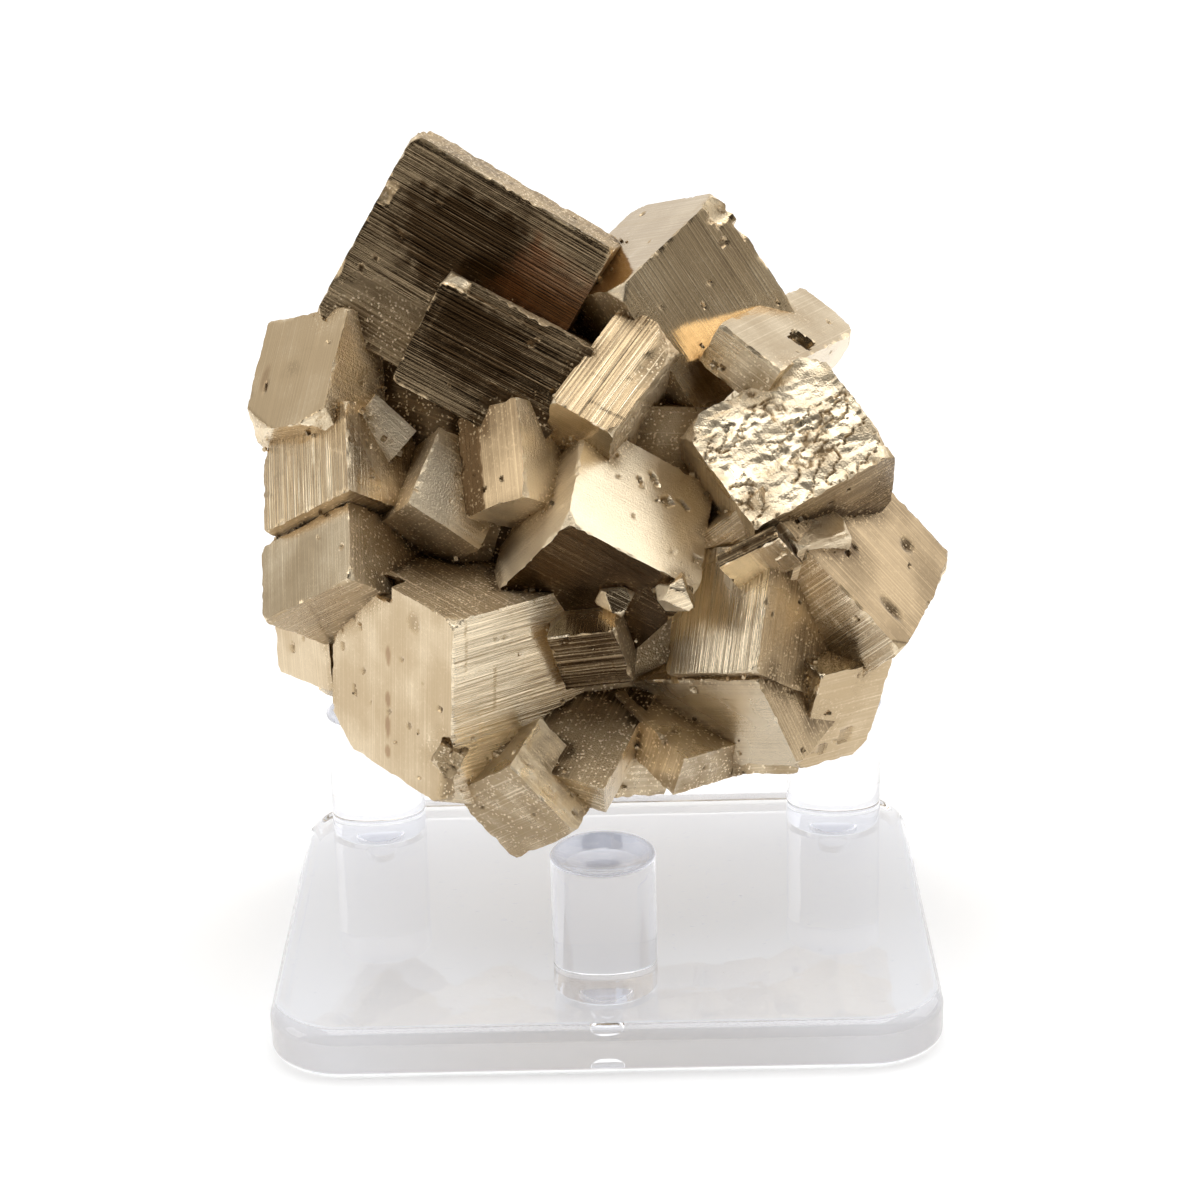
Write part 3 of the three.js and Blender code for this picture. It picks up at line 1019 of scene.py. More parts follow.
def middle_group() -> list[Crystal]:
    """The bright cube at the centre and the small ones round it.

    Returns:
        Its crystals.
    """
    top = Skin(
        lines=0.02, run=Run.ACROSS, ledges=0.04, pits=4, grain=0.42, tone=1.0, chips=0.35,
        marks=(
            Mark((1.2, 4.6), (0.35, 1.1), depth=0.5, soft=0.25, turn=35.0, tone=-0.5, grain=0.5),
            Mark((-0.6, 3.2), (0.3, 0.8), depth=0.4, soft=0.2, turn=20.0, tone=-0.5, grain=0.4),
            Mark((3.4, 2.4), (0.75, 0.75), depth=0.5, soft=0.3, turn=45.0, tone=-0.45, grain=0.5),
            Mark((5.6, 3.2), (0.3, 0.9), depth=0.5, soft=0.2, turn=60.0, tone=-0.5, grain=0.4),
            Mark((1.9, 1.6), (0.35, 0.2), depth=0.3, soft=0.15, tone=-0.4, grain=0.3),
            Mark((8.5, -4.0), (0.9, 0.7), depth=0.4, soft=0.3, tone=-0.4, grain=0.5),
        ),
    )
    under = Skin(lines=0.03, run=Run.ACROSS, ledges=0.06, pits=0, grain=0.1, tone=0.0)
    fin = Skin(
        lines=0.02, run=Run.TALL, grain=0.05, tone=0.26,
        marks=(Mark((0.0, -3.4), (7.5, 1.8), soft=0.4, tone=-0.4, grain=0.25),),
    )
    return [
        Crystal(
            "centre", (19, 17.5, 18), (0.5, 2.5, 52.5), (-8, 27, 38), skin=PAINTED_LIT_DRUSY,
            skins=((Side.TOP, top), (Side.FRONT, under)), spacing=0.27,
        ),
        Crystal(
            "left_fin", (10, 14, 13), (-8, 6, 61), (-43, -26, -28), skin=PAINTED_LIT_DRUSY,
            skins=((Side.FRONT, fin),), spacing=0.24,
        ),
        Crystal(
            "left_spike", (10, 12, 11), (-18.5, 7, 57), (-26, 36, -42), skin=DRUSY,
            skins=((Side.RIGHT, Skin(grain=0.7, tone=1.0, hills=0.3, chips=1.2)),), spacing=0.24,
        ),
        Crystal(
            "small_ledge", (9, 9, 9), (-0.5, -2.5, 42.5), (-7, 22, -11), skin=DRUSY,
            skins=(
                (Side.FRONT, Skin(lines=0.14, run=Run.ACROSS, ledges=0.2, tone=0.2, grain=0.15)),
                (Side.TOP, Skin(tone=0.9, grain=0.1)),
            ),
            spacing=0.24,
        ),
        Crystal(
            "sliver_right", (4, 4, 4), (9, -7.5, 49.5), (-5, 3, -21),
            skin=Skin(tone=0.75, grain=0.1, pits=0), spacing=0.22, wear=0.3,
        ),
        Crystal(
            "sliver_left", (4, 4, 3.5), (2, -5.5, 48.5), (0, -22, 28),
            skin=Skin(tone=0.75, grain=0.1, pits=0), spacing=0.22, wear=0.35,
        ),
        Crystal(
            "dark_bar", (8, 9, 2), (19, -7, 53.5), (-27, -39, -36),
            skin=Skin(tone=0.1, grain=0.2, lines=0.06), skins=((Side.UNDER, Skin(tone=1.0)),),
            spacing=0.24,
        ),
    ]


def rugged_group() -> list[Crystal]:
    """The bright broken crystal on the right and the chip under it.

    Returns:
        Its crystals.
    """
    broken = Skin(lines=0.04, broken=1.3, pits=0, grain=0.25, tone=1.0, chips=1.2, hills=0.4)
    flank = Skin(broken=0.4, pits=0, grain=0.2, tone=1.0, chips=0.6)
    return [
        Crystal(
            "rugged", (20, 17.5, 14), (23, 7, 60.5), (37, 34, -25),
            skin=Skin(broken=0.8, grain=0.5, tone=0.6),
            skins=(
                (Side.TOP, broken),
                (Side.LEFT, flank),
                (Side.FRONT, Skin(lines=0.06, run=Run.ACROSS, grain=0.35, tone=0.32)),
            ),
            cuts=(Cut((1, -0.2, 1), 1.4, 1.0), Cut((1, 1, 1), 2.0, 1.2), Cut((-1, 1, 1), 2.4, 1.0)),
            spacing=0.22,
        ),
        Crystal(
            "right_chip", (9, 6, 8), (25, 0, 52), (37, 21, -3),
            skin=Skin(tone=1.0, grain=0.2, broken=0.5), spacing=0.24, wear=0.16,
        ),
    ]


def right_group() -> list[Crystal]:
    """The crystals down the right side.

    Returns:
        Its crystals.
    """
    wing = Skin(
        lines=0.03, run=Run.TALL, ledges=0.04, pits=3, grain=0.06, tone=0.31,
        marks=(
            Mark((5.0, -6.5), (1.1, 1.3), depth=0.35, soft=1.0, oval=True, tone=-0.1, grain=0.8),
            Mark((-3.0, -1.0), (0.4, 1.0), depth=0.25, soft=0.4, oval=True, tone=-0.1, grain=0.6),
            Mark((-6.0, -9.0), (0.9, 2.0), depth=0.35, soft=0.8, oval=True, tone=-0.1, grain=0.8),
            Mark((-4.0, 9.0), (4.6, 3.0), soft=0.3, oval=True, tone=-0.4, grain=0.1),
        ),
    )
    wing_side = Skin(lines=0.08, run=Run.ACROSS, ledges=0.1, pits=3, grain=0.12, tone=0.74)
    pillar = Skin(lines=0.12, run=Run.TALL, ledges=0.1, pits=0, grain=0.2, tone=1.0)
    low = Skin(
        lines=0.03, run=Run.ACROSS, pits=5, grain=0.08, tone=0.6,
        marks=(
            Mark((-3.4, 1.5), (1.0, 1.1), depth=0.22, soft=0.2, tone=-0.2, grain=0.2),
            Mark((-4.6, -2.0), (0.8, 0.8), depth=0.2, soft=0.2, tone=-0.2, grain=0.2),
        ),
    )
    return [
        Crystal(
            "right_wing", (16, 21, 26), (26.5, 7.5, 48), (-24, 13, -41), skin=HIDDEN,
            skins=((Side.RIGHT, wing), (Side.FRONT, wing_side)),
            cuts=(Cut((1, 0.2, -1), 1.0, 0.5), Cut((1, 1, 0.2), 1.0, 0.6)), spacing=0.28,
        ),
        Crystal(
            "right_pillar", (14, 14, 16), (18.5, -1, 43), (-46, -30, -16), skin=DRUSY,
            skins=((Side.FRONT, pillar), (Side.RIGHT, Skin(lines=0.04, grain=0.3, tone=0.5, pits=5))),
            spacing=0.24,
        ),
        Crystal(
            "low_right", (12, 18, 14), (24, 3, 34.5), (38, 16, 5), skin=PLAIN,
            skins=((Side.FRONT, low),), cuts=(Cut((1, -0.5, -1), 1.3, 0.5),),
        ),
    ]


def lower_group() -> list[Crystal]:
    """The crystals along the bottom.

    Returns:
        Its crystals.
    """
    apron = Skin(
        lines=0.05, run=Run.ACROSS, ledges=0.06, pits=3, grain=0.3, tone=1.0,
        marks=(Mark((3.0, 2.0), (3.0, 5.0), soft=3.0, oval=True, tone=0.2),),
    )
    band = Skin(lines=0.03, broken=0.4, grain=0.2, tone=0.66, chips=0.8)
    return [
        Crystal(
            "right_apron", (25, 16, 13), (16, 2, 34), (-35, 18, -15), skin=HIDDEN,
            skins=((Side.FRONT, apron), (Side.RIGHT, Skin(grain=0.2, tone=0.4))), spacing=0.28,
        ),
        Crystal(
            "low_block", (17.5, 16, 5), (-4.5, -4, 30.5), (-26, 24, 11), skin=HIDDEN,
            skins=(
                (Side.TOP, Skin(lines=0.05, grain=0.85, tone=0.58, hills=0.3, pits=0)),
                (Side.FRONT, Skin(lines=0.08, run=Run.ACROSS, grain=0.25, tone=0.8)),
            ),
            spacing=0.24,
        ),
        Crystal(
            "low_tip", (12, 9, 12), (-9, -9, 25.5), (-26, 20, -35),
            skin=Skin(broken=0.5, grain=0.1, tone=1.0, lines=0.05),
            skins=((Side.FRONT, Skin(broken=0.4, grain=0.05, tone=0.62)),),
            cuts=(Cut((-1, -0.6, 0.2), 1.0, 0.6), Cut((0.2, -1, -0.6), 0.8, 0.6)), spacing=0.24,
        ),
        Crystal("band_left", (9, 12, 8), (2, 1, 26), (25, 3, 10), skin=band),
        Crystal("band_mid", (12, 14, 6), (9.5, -2.5, 29.5), (39, 20, 4), skin=band),
        Crystal("band_right", (9, 12, 6), (18.5, 2, 27.5), (17, 5, 7), skin=band),
    ]


def heart_group() -> list[Crystal]:
    """The blocks inside, which show only in the hollows between the others.

    Returns:
        Its crystals.
    """
    return [
        Crystal("heart", (44, 26, 30), (3, 20, 50), (8, -12, 6), skin=DRUSY, spacing=0.45),
        Crystal(
            "heart_left", (28, 18, 24), (-14, 18, 58), (-20, -20, 12),
            skin=Skin(lines=0.03, pits=0, grain=0.8, tone=0.4, hills=0.4), spacing=0.4,
        ),
        Crystal("heart_low", (32, 20, 14), (6, 10, 36), (5, -10, -8), skin=DRUSY, spacing=0.45),
    ]


def back_group() -> list[Crystal]:
    """The crystals round the back, and the two that stand in the back pegs' dishes.

    Returns:
        Its crystals.
    """
    corner_tip = math.degrees(math.atan(math.sqrt(0.5)))
    dish_bottom = 21.5
    gap = 0.3
    side = 12
    height = dish_bottom + gap + side / 2.0 * math.sqrt(3.0)
    rough = Skin(lines=0.1, broken=0.5, grain=0.35, tone=0.7)
    lined = Skin(lines=0.18, ledges=0.2, grain=0.12, tone=0.74)
    spacing = 0.42
    return [
        Crystal("back_crown", (20, 18, 20), (-13, 26, 66), (24, 12, 18), lined, spacing=spacing),
        Crystal("back_peak", (18, 16, 18), (10, 27, 61), (-30, 18, -12), PLAIN, spacing=spacing),
        Crystal("back_slab", (24, 10, 16), (-2, 31, 49), (-12, 8, 24), lined, spacing=spacing),
        Crystal("back_left", (14, 14, 14), (-24, 25, 50), (35, 20, 10), PLAIN, spacing=spacing),
        Crystal("back_right", (16, 16, 16), (23, 25, 52), (20, -25, 15), rough, spacing=spacing),
        Crystal("back_low", (18, 14, 14), (4, 27, 38), (-15, 30, 10), HIDDEN, spacing=spacing),
        Crystal("back_corner", (11, 11, 11), (-17, 29, 56), (48, 15, -20), SMOOTH, spacing=spacing),
        Crystal("back_stud", (9, 9, 9), (14, 32, 49), (40, 30, 25), lined, spacing=spacing),
        Crystal("back_bead", (7, 7, 7), (0, 33, 60), (10, 40, 30), SMOOTH, spacing=spacing),
        Crystal("foot_left", (side,) * 3, (-30, 22.4, height), (20, corner_tip, 45), PLAIN, wear=0.01),
        Crystal("foot_right", (side,) * 3, (30, 22.4, height), (65, corner_tip, 45), HIDDEN, wear=0.01),
    ]


CUBE_CORNERS = np.array([[x, y, z] for x in (-1, 1) for y in (-1, 1) for z in (-1, 1)]) / 2.0
CUBE_FACES = np.array([[0, 1, 3, 2], [4, 6, 7, 5], [0, 4, 5, 1], [2, 3, 7, 6], [0, 2, 6, 4], [1, 5, 7, 3]])
UNIT_SQUARE = np.array([[0.0, 0.0], [1.0, 0.0], [1.0, 1.0], [0.0, 1.0]])
SMOOTH_ANGLE = 22.0


@dataclass
class Cluster:
    """The whole mineral: its crystals in groups, and the druse in the hollows between them.

    Attributes:
        druse_tries: How many places are tried for small crystals on each square millimetre.
        druse_reach: How near to a neighbour a small crystal has to be.
        druse_least: Side of the smallest.
        druse_most: Side of the largest.
        druse_host: Least side of a crystal that carries them.
        druse_turn: Spread of their own turns, in radians.
    """

    druse_tries: float = 0.3
    druse_reach: float = 0.9
    druse_least: float = 0.16
    druse_most: float = 0.8
    druse_host: float = 4.5
    druse_turn: float = 0.5

    def groups(self) -> dict[str, list[Crystal]]:
        """The crystals of each piece.

        Returns:
            For the name of each piece, its crystals.
        """
        return {
            "pyrite_crown": crown_group(),
            "pyrite_left": left_group(),
            "pyrite_upright": upright_group(),
            "pyrite_peak": peak_group(),
            "pyrite_middle": middle_group(),
            "pyrite_rugged": rugged_group(),
            "pyrite_right": right_group(),
            "pyrite_lower": lower_group(),
            "pyrite_heart": heart_group(),
            "pyrite_back": back_group(),
        }

    def druse_places(
        self, crystals: list[Crystal], draw: np.random.Generator
    ) -> tuple[np.ndarray, np.ndarray]:
        """Draws the places of the small crystals.

        Points are drawn evenly over every crystal's faces. Those outside all other crystals but
        near one of them are kept, more often the nearer they are.

        Args:
            crystals: All the crystals.
            draw: The source of random numbers.

        Returns:
            The places, in millimetres, and the axes of the crystal that each one sits on.
        """
        places, frames = [], []
        for host in crystals:
            if min(host.size) < self.druse_host:
                continue
            half = host.half
            areas = 8.0 * np.array([half[1] * half[2], half[0] * half[2], half[0] * half[1]])
            count = int(areas.sum() * self.druse_tries)
            axis = draw.choice(3, size=count, p=areas / areas.sum())
            local = draw.uniform(-1.0, 1.0, (count, 3)) * half
            sign = draw.choice([-1.0, 1.0], size=count)
            local[np.arange(count), axis] = sign * half[axis]
            world = host.world(local)
            gaps = np.stack([other.gap(world) for other in crystals if other is not host])
            nearest = gaps.min(axis=0)
            chance = np.exp(-np.maximum(nearest, 0.0) / (0.5 * self.druse_reach))
            kept = (nearest > -0.05) & (nearest < self.druse_reach) & (draw.random(count) < chance)
            places.append(world[kept])
            frames.append(np.repeat(host.frame[None], int(kept.sum()), axis=0))
        return np.concatenate(places), np.concatenate(frames)

    def druse(self, crystals: list[Crystal]) -> Surface:
        """Small cubes scattered where one crystal meets another.

        Each cube's corners are stretched a little along its axes, turned about the three of them
        in turn, and then turned as the crystal that it sits on.

        Args:
            crystals: All the crystals.

        Returns:
            The cubes as one surface.
        """
        draw = np.random.default_rng(41)
        place, turn = self.druse_places(crystals, draw)
        count = len(place)
        side = self.druse_least + (self.druse_most - self.druse_least) * draw.random(count) ** 5.0
        angle = draw.normal(0.0, self.druse_turn, (count, 3))
        local = CUBE_CORNERS[None] * side[:, None, None] * draw.uniform(0.7, 1.2, (count, 1, 3))
        for first, second, about in ((0, 1, 2), (1, 2, 0), (2, 0, 1)):
            cos = np.cos(angle[:, about])[:, None]
            sin = np.sin(angle[:, about])[:, None]
            one = local[..., first] * cos - local[..., second] * sin
            two = local[..., first] * sin + local[..., second] * cos
            local[..., first] = one
            local[..., second] = two
        points = np.einsum("nij,nkj->nki", turn, local) + place[:, None, :]
        quads = (np.arange(count)[:, None, None] * 8 + CUBE_FACES[None]).reshape(-1, 4)
        lines = np.tile(UNIT_SQUARE, (len(quads), 1, 1))
        lines = lines + draw.uniform(0.0, 500.0, (len(quads), 1, 1))
        tone = np.repeat(draw.uniform(0.25, 0.8, count), 6)
        skin = np.stack([tone, tone * 0 + 0.4, tone * 0 + 0.2, tone * 0], axis=-1)
        skin = np.repeat(skin[:, None, :], 4, axis=1)
        return Surface(in_metres(points.reshape(-1, 3)), quads, lines, skin)

    def build(self, material: bpy.types.Material) -> list[bpy.types.Object]:
        """Builds every piece of the cluster and dresses it.

        Args:
            material: The pyrite.

        Returns:
            The pieces.
        """
        groups = self.groups()
        crystals = [crystal for group in groups.values() for crystal in group]
        pieces = []
        for name, group in groups.items():
            parts = [
                Grower(crystal, [other for other in crystals if other is not crystal]).surface()
                for crystal in group
            ]
            pieces.append(mesh_piece(name, Surface.joined(parts), material))
        pieces.append(mesh_piece("pyrite_druse", self.druse(crystals), material, smooth=False))
        for piece in pieces:
            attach(piece, ROOT)
            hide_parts("pyrite_cluster")
        return pieces


def mesh_piece(
    name: str, surface: Surface, material: bpy.types.Material, smooth: bool = True
) -> bpy.types.Object:
    """Makes an object of a surface, with its growth-line map and its skin values.

    Args:
        name: Name of the piece.
        surface: Its arrays.
        material: Its material.
        smooth: True to shade across its faces.

    Returns:
        The object, at the origin.
    """
    mesh = bpy.data.meshes.new(name)
    faces = len(surface.quads)
    mesh.vertices.add(len(surface.points))
    mesh.vertices.foreach_set("co", surface.points.astype(np.float32).ravel())
    mesh.loops.add(faces * 4)
    mesh.loops.foreach_set("vertex_index", surface.quads.astype(np.int32).ravel())
    mesh.polygons.add(faces)
    mesh.polygons.foreach_set("loop_start", np.arange(0, faces * 4, 4, dtype=np.int32))
    mesh.polygons.foreach_set("use_smooth", np.full(faces, smooth))
    mesh.update(calc_edges=True)
    if smooth:
        mesh.set_sharp_from_angle(angle=math.radians(SMOOTH_ANGLE))
    layer = mesh.uv_layers.new(name=LINES_MAP)
    layer.uv.foreach_set("vector", surface.lines.astype(np.float32).ravel())
    skin = mesh.attributes.new(SKIN_MAP, "FLOAT_COLOR", "CORNER")
    skin.data.foreach_set("color", surface.skin.astype(np.float32).ravel())
    mesh.materials.append(material)
    mesh.validate()
    return new_object(name, mesh)


# ---------------- The stand ----------------


def closed_rings(rings: np.ndarray, first: np.ndarray, last: np.ndarray) -> Shape:
    """Joins rings of points in order and closes both ends on one point each.

    Args:
        rings: Points, ring by ring, each ring counter-clockwise seen from the last end.
        first: The point that closes the first ring.
        last: The point that closes the last ring.

    Returns:
        Points, the four-sided faces between rings and the three-cornered faces at the ends.
    """
    count, around = rings.shape[:2]
    number = np.arange(count * around).reshape(count, around)
    ahead = np.roll(number, -1, axis=1)
    quads = np.stack([number[:-1], ahead[:-1], ahead[1:], number[1:]], axis=-1).reshape(-1, 4)
    start = np.full(around, count * around)
    end = start + 1
    low = np.stack([start, ahead[0], number[0]], axis=-1)
    high = np.stack([end, number[-1], ahead[-1]], axis=-1)
    points = np.concatenate([rings.reshape(-1, 3), first[None], last[None]])
    return points, quads, np.concatenate([low, high])


def joined_shapes(shapes: list[Shape]) -> Shape:
    """Several closed shapes as one, their corner numbers moved on.

    Args:
        shapes: Points, four-sided faces and three-cornered faces of each.

    Returns:
        Those of the whole.
    """
    starts = np.cumsum([0] + [len(shape[0]) for shape in shapes[:-1]])
    points = np.concatenate([shape[0] for shape in shapes])
    quads = np.concatenate([shape[1] + start for shape, start in zip(shapes, starts)])
    triangles = np.concatenate([shape[2] + start for shape, start in zip(shapes, starts)])
    return points, quads, triangles


def clear_piece(name: str, shape: Shape, material: bpy.types.Material) -> bpy.types.Object:
    """Makes an object of points in millimetres, quads and triangles.

    Args:
        name: Name of the piece.
        shape: Points, four-sided faces and three-cornered faces.
        material: Its material.

    Returns:
        The object, at the origin.
    """
    points, quads, triangles = shape
    mesh = bpy.data.meshes.new(name)
    mesh.from_pydata(points * MM, [], quads.tolist() + triangles.tolist())
    mesh.polygons.foreach_set("use_smooth", np.ones(len(mesh.polygons), dtype=bool))
    mesh.materials.append(material)
    mesh.update(calc_edges=True)
    return new_object(name, mesh)


@dataclass
class Plate:
    """The clear base: a rounded rectangle with a softened top edge.

    Attributes:
        corner: Radius of its corners.
        top_edge: Radius of its top edge.
        bottom_edge: Radius of its bottom edge.
        inner: Distance from an edge's rounding to the flat's support ring.
        steps: Points round a quarter of an edge's rounding.
        corner_steps: Points round a quarter corner.
        socket_radius: Radius of the hollow for a peg's spigot.
        socket_depth: How deep that hollow goes.
        socket_sides: Points round it.
        socket_end: Radius of its ends, as a part of its own.
        socket_edge: Height of the slope at its ends.
    """

    corner: float = 9.3
    top_edge: float = 2.0
    bottom_edge: float = 0.8
    inner: float = 0.12
    steps: int = 10
    corner_steps: int = 28
    socket_radius: float = 2.0
    socket_depth: float = 3.1
    socket_sides: int = 48
    socket_end: float = 0.9
    socket_edge: float = 0.2

    def outline(self, half: np.ndarray, inset: np.ndarray, height: np.ndarray) -> np.ndarray:
        """Rounded rectangles, one for each inset and height.

        A point is its corner's centre plus the corner radius less the inset, times the direction
        of its angle.

        Args:
            half: Half the plate's width and depth.
            inset: How far each ring is moved in.
            height: Height of each ring.

        Returns:
            Points, ring by ring.
        """
        step = np.linspace(0.0, 1.0, self.corner_steps + 1)
        quarter = np.arange(4)[:, None]
        angle = ((quarter + step[None]) * math.pi / 2.0).ravel()
        signs = np.array([[1, 1], [-1, 1], [-1, -1], [1, -1]], dtype=float)
        centre = np.repeat(signs * (half - self.corner), self.corner_steps + 1, axis=0)
        radius = (self.corner - inset)[:, None]
        x = centre[None, :, 0] + radius * np.cos(angle)[None]
        y = centre[None, :, 1] + radius * np.sin(angle)[None]
        z = np.repeat(height[:, None], len(angle), axis=1)
        return np.stack([x, y, z], axis=-1)

    def socket(self, middle: np.ndarray, thick: float) -> Shape:
        """The hollow in the plate where a peg's spigot sits, closed just under the plate's top.

        A circle is carried from the top to the bottom, so that its faces look into the hollow.

        Args:
            middle: Where the peg stands.
            thick: Thickness of the plate.

        Returns:
            Points, four-sided faces and three-cornered faces.
        """
        turn = np.linspace(0.0, 2.0 * math.pi, self.socket_sides, endpoint=False)
        radius = np.array([self.socket_end, 1.0, 1.0, self.socket_end])[:, None] * self.socket_radius
        low = thick - self.socket_depth
        high = thick - self.inner
        height = np.array([high, high - self.socket_edge, low + self.socket_edge, low])
        x = middle[0] + radius * np.cos(turn)[None]
        y = middle[1] + radius * np.sin(turn)[None]
        z = np.repeat(height[:, None], self.socket_sides, axis=1)
        first = np.array([middle[0], middle[1], high])
        last = np.array([middle[0], middle[1], low])
        return closed_rings(np.stack([x, y, z], axis=-1), first, last)

    def build(self, material: bpy.types.Material) -> bpy.types.Object:
        """Builds the plate in the box of its solid.

        Args:
            material: The clear acrylic.

        Returns:
            The piece.
        """
        low, high = (np.array(corner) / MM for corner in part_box("stand_base"))
        half = (high - low)[:2] / 2.0
        thick = float(high[2])
        turn = np.linspace(0.0, math.pi / 2.0, self.steps + 1)
        inset = np.concatenate(
            [
                [self.bottom_edge + self.inner],
                self.bottom_edge * (1.0 - np.sin(turn)),
                self.top_edge * (1.0 - np.cos(turn)),
                [self.top_edge + self.inner],
            ]
        )
        height = np.concatenate(
            [
                [0.0],
                self.bottom_edge * (1.0 - np.cos(turn)),
                thick - self.top_edge * (1.0 - np.sin(turn)),
                [thick],
            ]
        )
        rings = self.outline(half, inset, height)
        shapes = [closed_rings(rings, np.zeros(3), np.array([0.0, 0.0, thick]))]
        for node in PEG_NODES:
            middle = np.array(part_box(node)).mean(axis=0) / MM
            shapes.append(self.socket(middle[:2], thick))
        piece = clear_piece("stand_plate", joined_shapes(shapes), material)
        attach(piece, ROOT)
        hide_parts("stand_base")
        return piece


@dataclass
class Peg:
    """A clear peg with a dished top, turned from one profile.

    Attributes:
        node: The solid that it stands for.
        rim: Width of the rim round the dish.
        dish: Depth of the dish.
        rim_edge: Rounding of the rim.
        foot_edge: Rounding of the foot.
        seat: Height of the plate's top, where the peg's foot is.
        sides: Points round it.
        edge_steps: Points round a quarter of an edge's rounding.
        wall_steps: Rings on its straight side.
        dish_steps: Rings of its dish.
        foot_inner: Distance from the foot's rounding to the flat's support ring.
        rim_inner: The same for the rim.
    """

    node: str
    rim: float = 0.5
    dish: float = 1.3
    rim_edge: float = 0.22
    foot_edge: float = 0.3
    seat: float = 6.0
    sides: int = 96
    edge_steps: int = 7
    wall_steps: int = 6
    dish_steps: int = 15
    foot_inner: float = 0.1
    rim_inner: float = 0.04

    def profile(self, radius: float, top: float) -> np.ndarray:
        """The peg's side from its foot to the middle of its dish.

        Quarter circles round the foot and the rim, a straight side between them, and a dish
        whose depth follows a parabola.

        Args:
            radius: The peg's radius.
            top: Height of its rim.

        Returns:
            Radius and height of each point.
        """
        turn = np.linspace(0.0, math.pi / 2.0, self.edge_steps)
        foot_out = radius - self.foot_edge * (1.0 - np.sin(turn))
        foot_up = self.seat + self.foot_edge * (1.0 - np.cos(turn))
        top_out = radius - self.rim_edge * (1.0 - np.cos(turn))
        top_up = top - self.rim_edge * (1.0 - np.sin(turn))
        bowl = radius - self.rim
        share = np.linspace(1.0, 0.0, self.dish_steps + 1)[:-1]
        low, high = self.seat + self.foot_edge, top - self.rim_edge
        wall = np.linspace(low, high, self.wall_steps + 2)[1:-1]
        out = np.concatenate(
            [
                [foot_out[0] - self.foot_inner],
                foot_out,
                np.full(self.wall_steps, radius),
                top_out,
                [bowl + self.rim_inner],
                bowl * share,
            ]
        )
        up = np.concatenate(
            [[self.seat], foot_up, wall, top_up, [top], top - self.dish * (1.0 - share**2)]
        )
        return np.stack([out, up], axis=-1)

    def build(self, material: bpy.types.Material) -> bpy.types.Object:
        """Turns the profile about the peg's own axis.

        Args:
            material: The clear acrylic.

        Returns:
            The piece.
        """
        low, high = (np.array(corner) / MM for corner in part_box(self.node))
        middle = (low + high) / 2.0
        radius = float(high[0] - low[0]) / 2.0
        profile = self.profile(radius, float(high[2]))
        angle = np.linspace(0.0, 2.0 * math.pi, self.sides, endpoint=False)
        x = middle[0] + profile[:, :1] * np.cos(angle)[None]
        y = middle[1] + profile[:, :1] * np.sin(angle)[None]
        z = np.repeat(profile[:, 1:], self.sides, axis=1)
        first = np.array([middle[0], middle[1], self.seat])
        last = np.array([middle[0], middle[1], float(high[2]) - self.dish])
        shape = closed_rings(np.stack([x, y, z], axis=-1), first, last)
        piece = clear_piece(f"clear_{self.node}", shape, material)
        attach(piece, ROOT)
        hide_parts(self.node)
        return piece


# ---------------- Materials ----------------


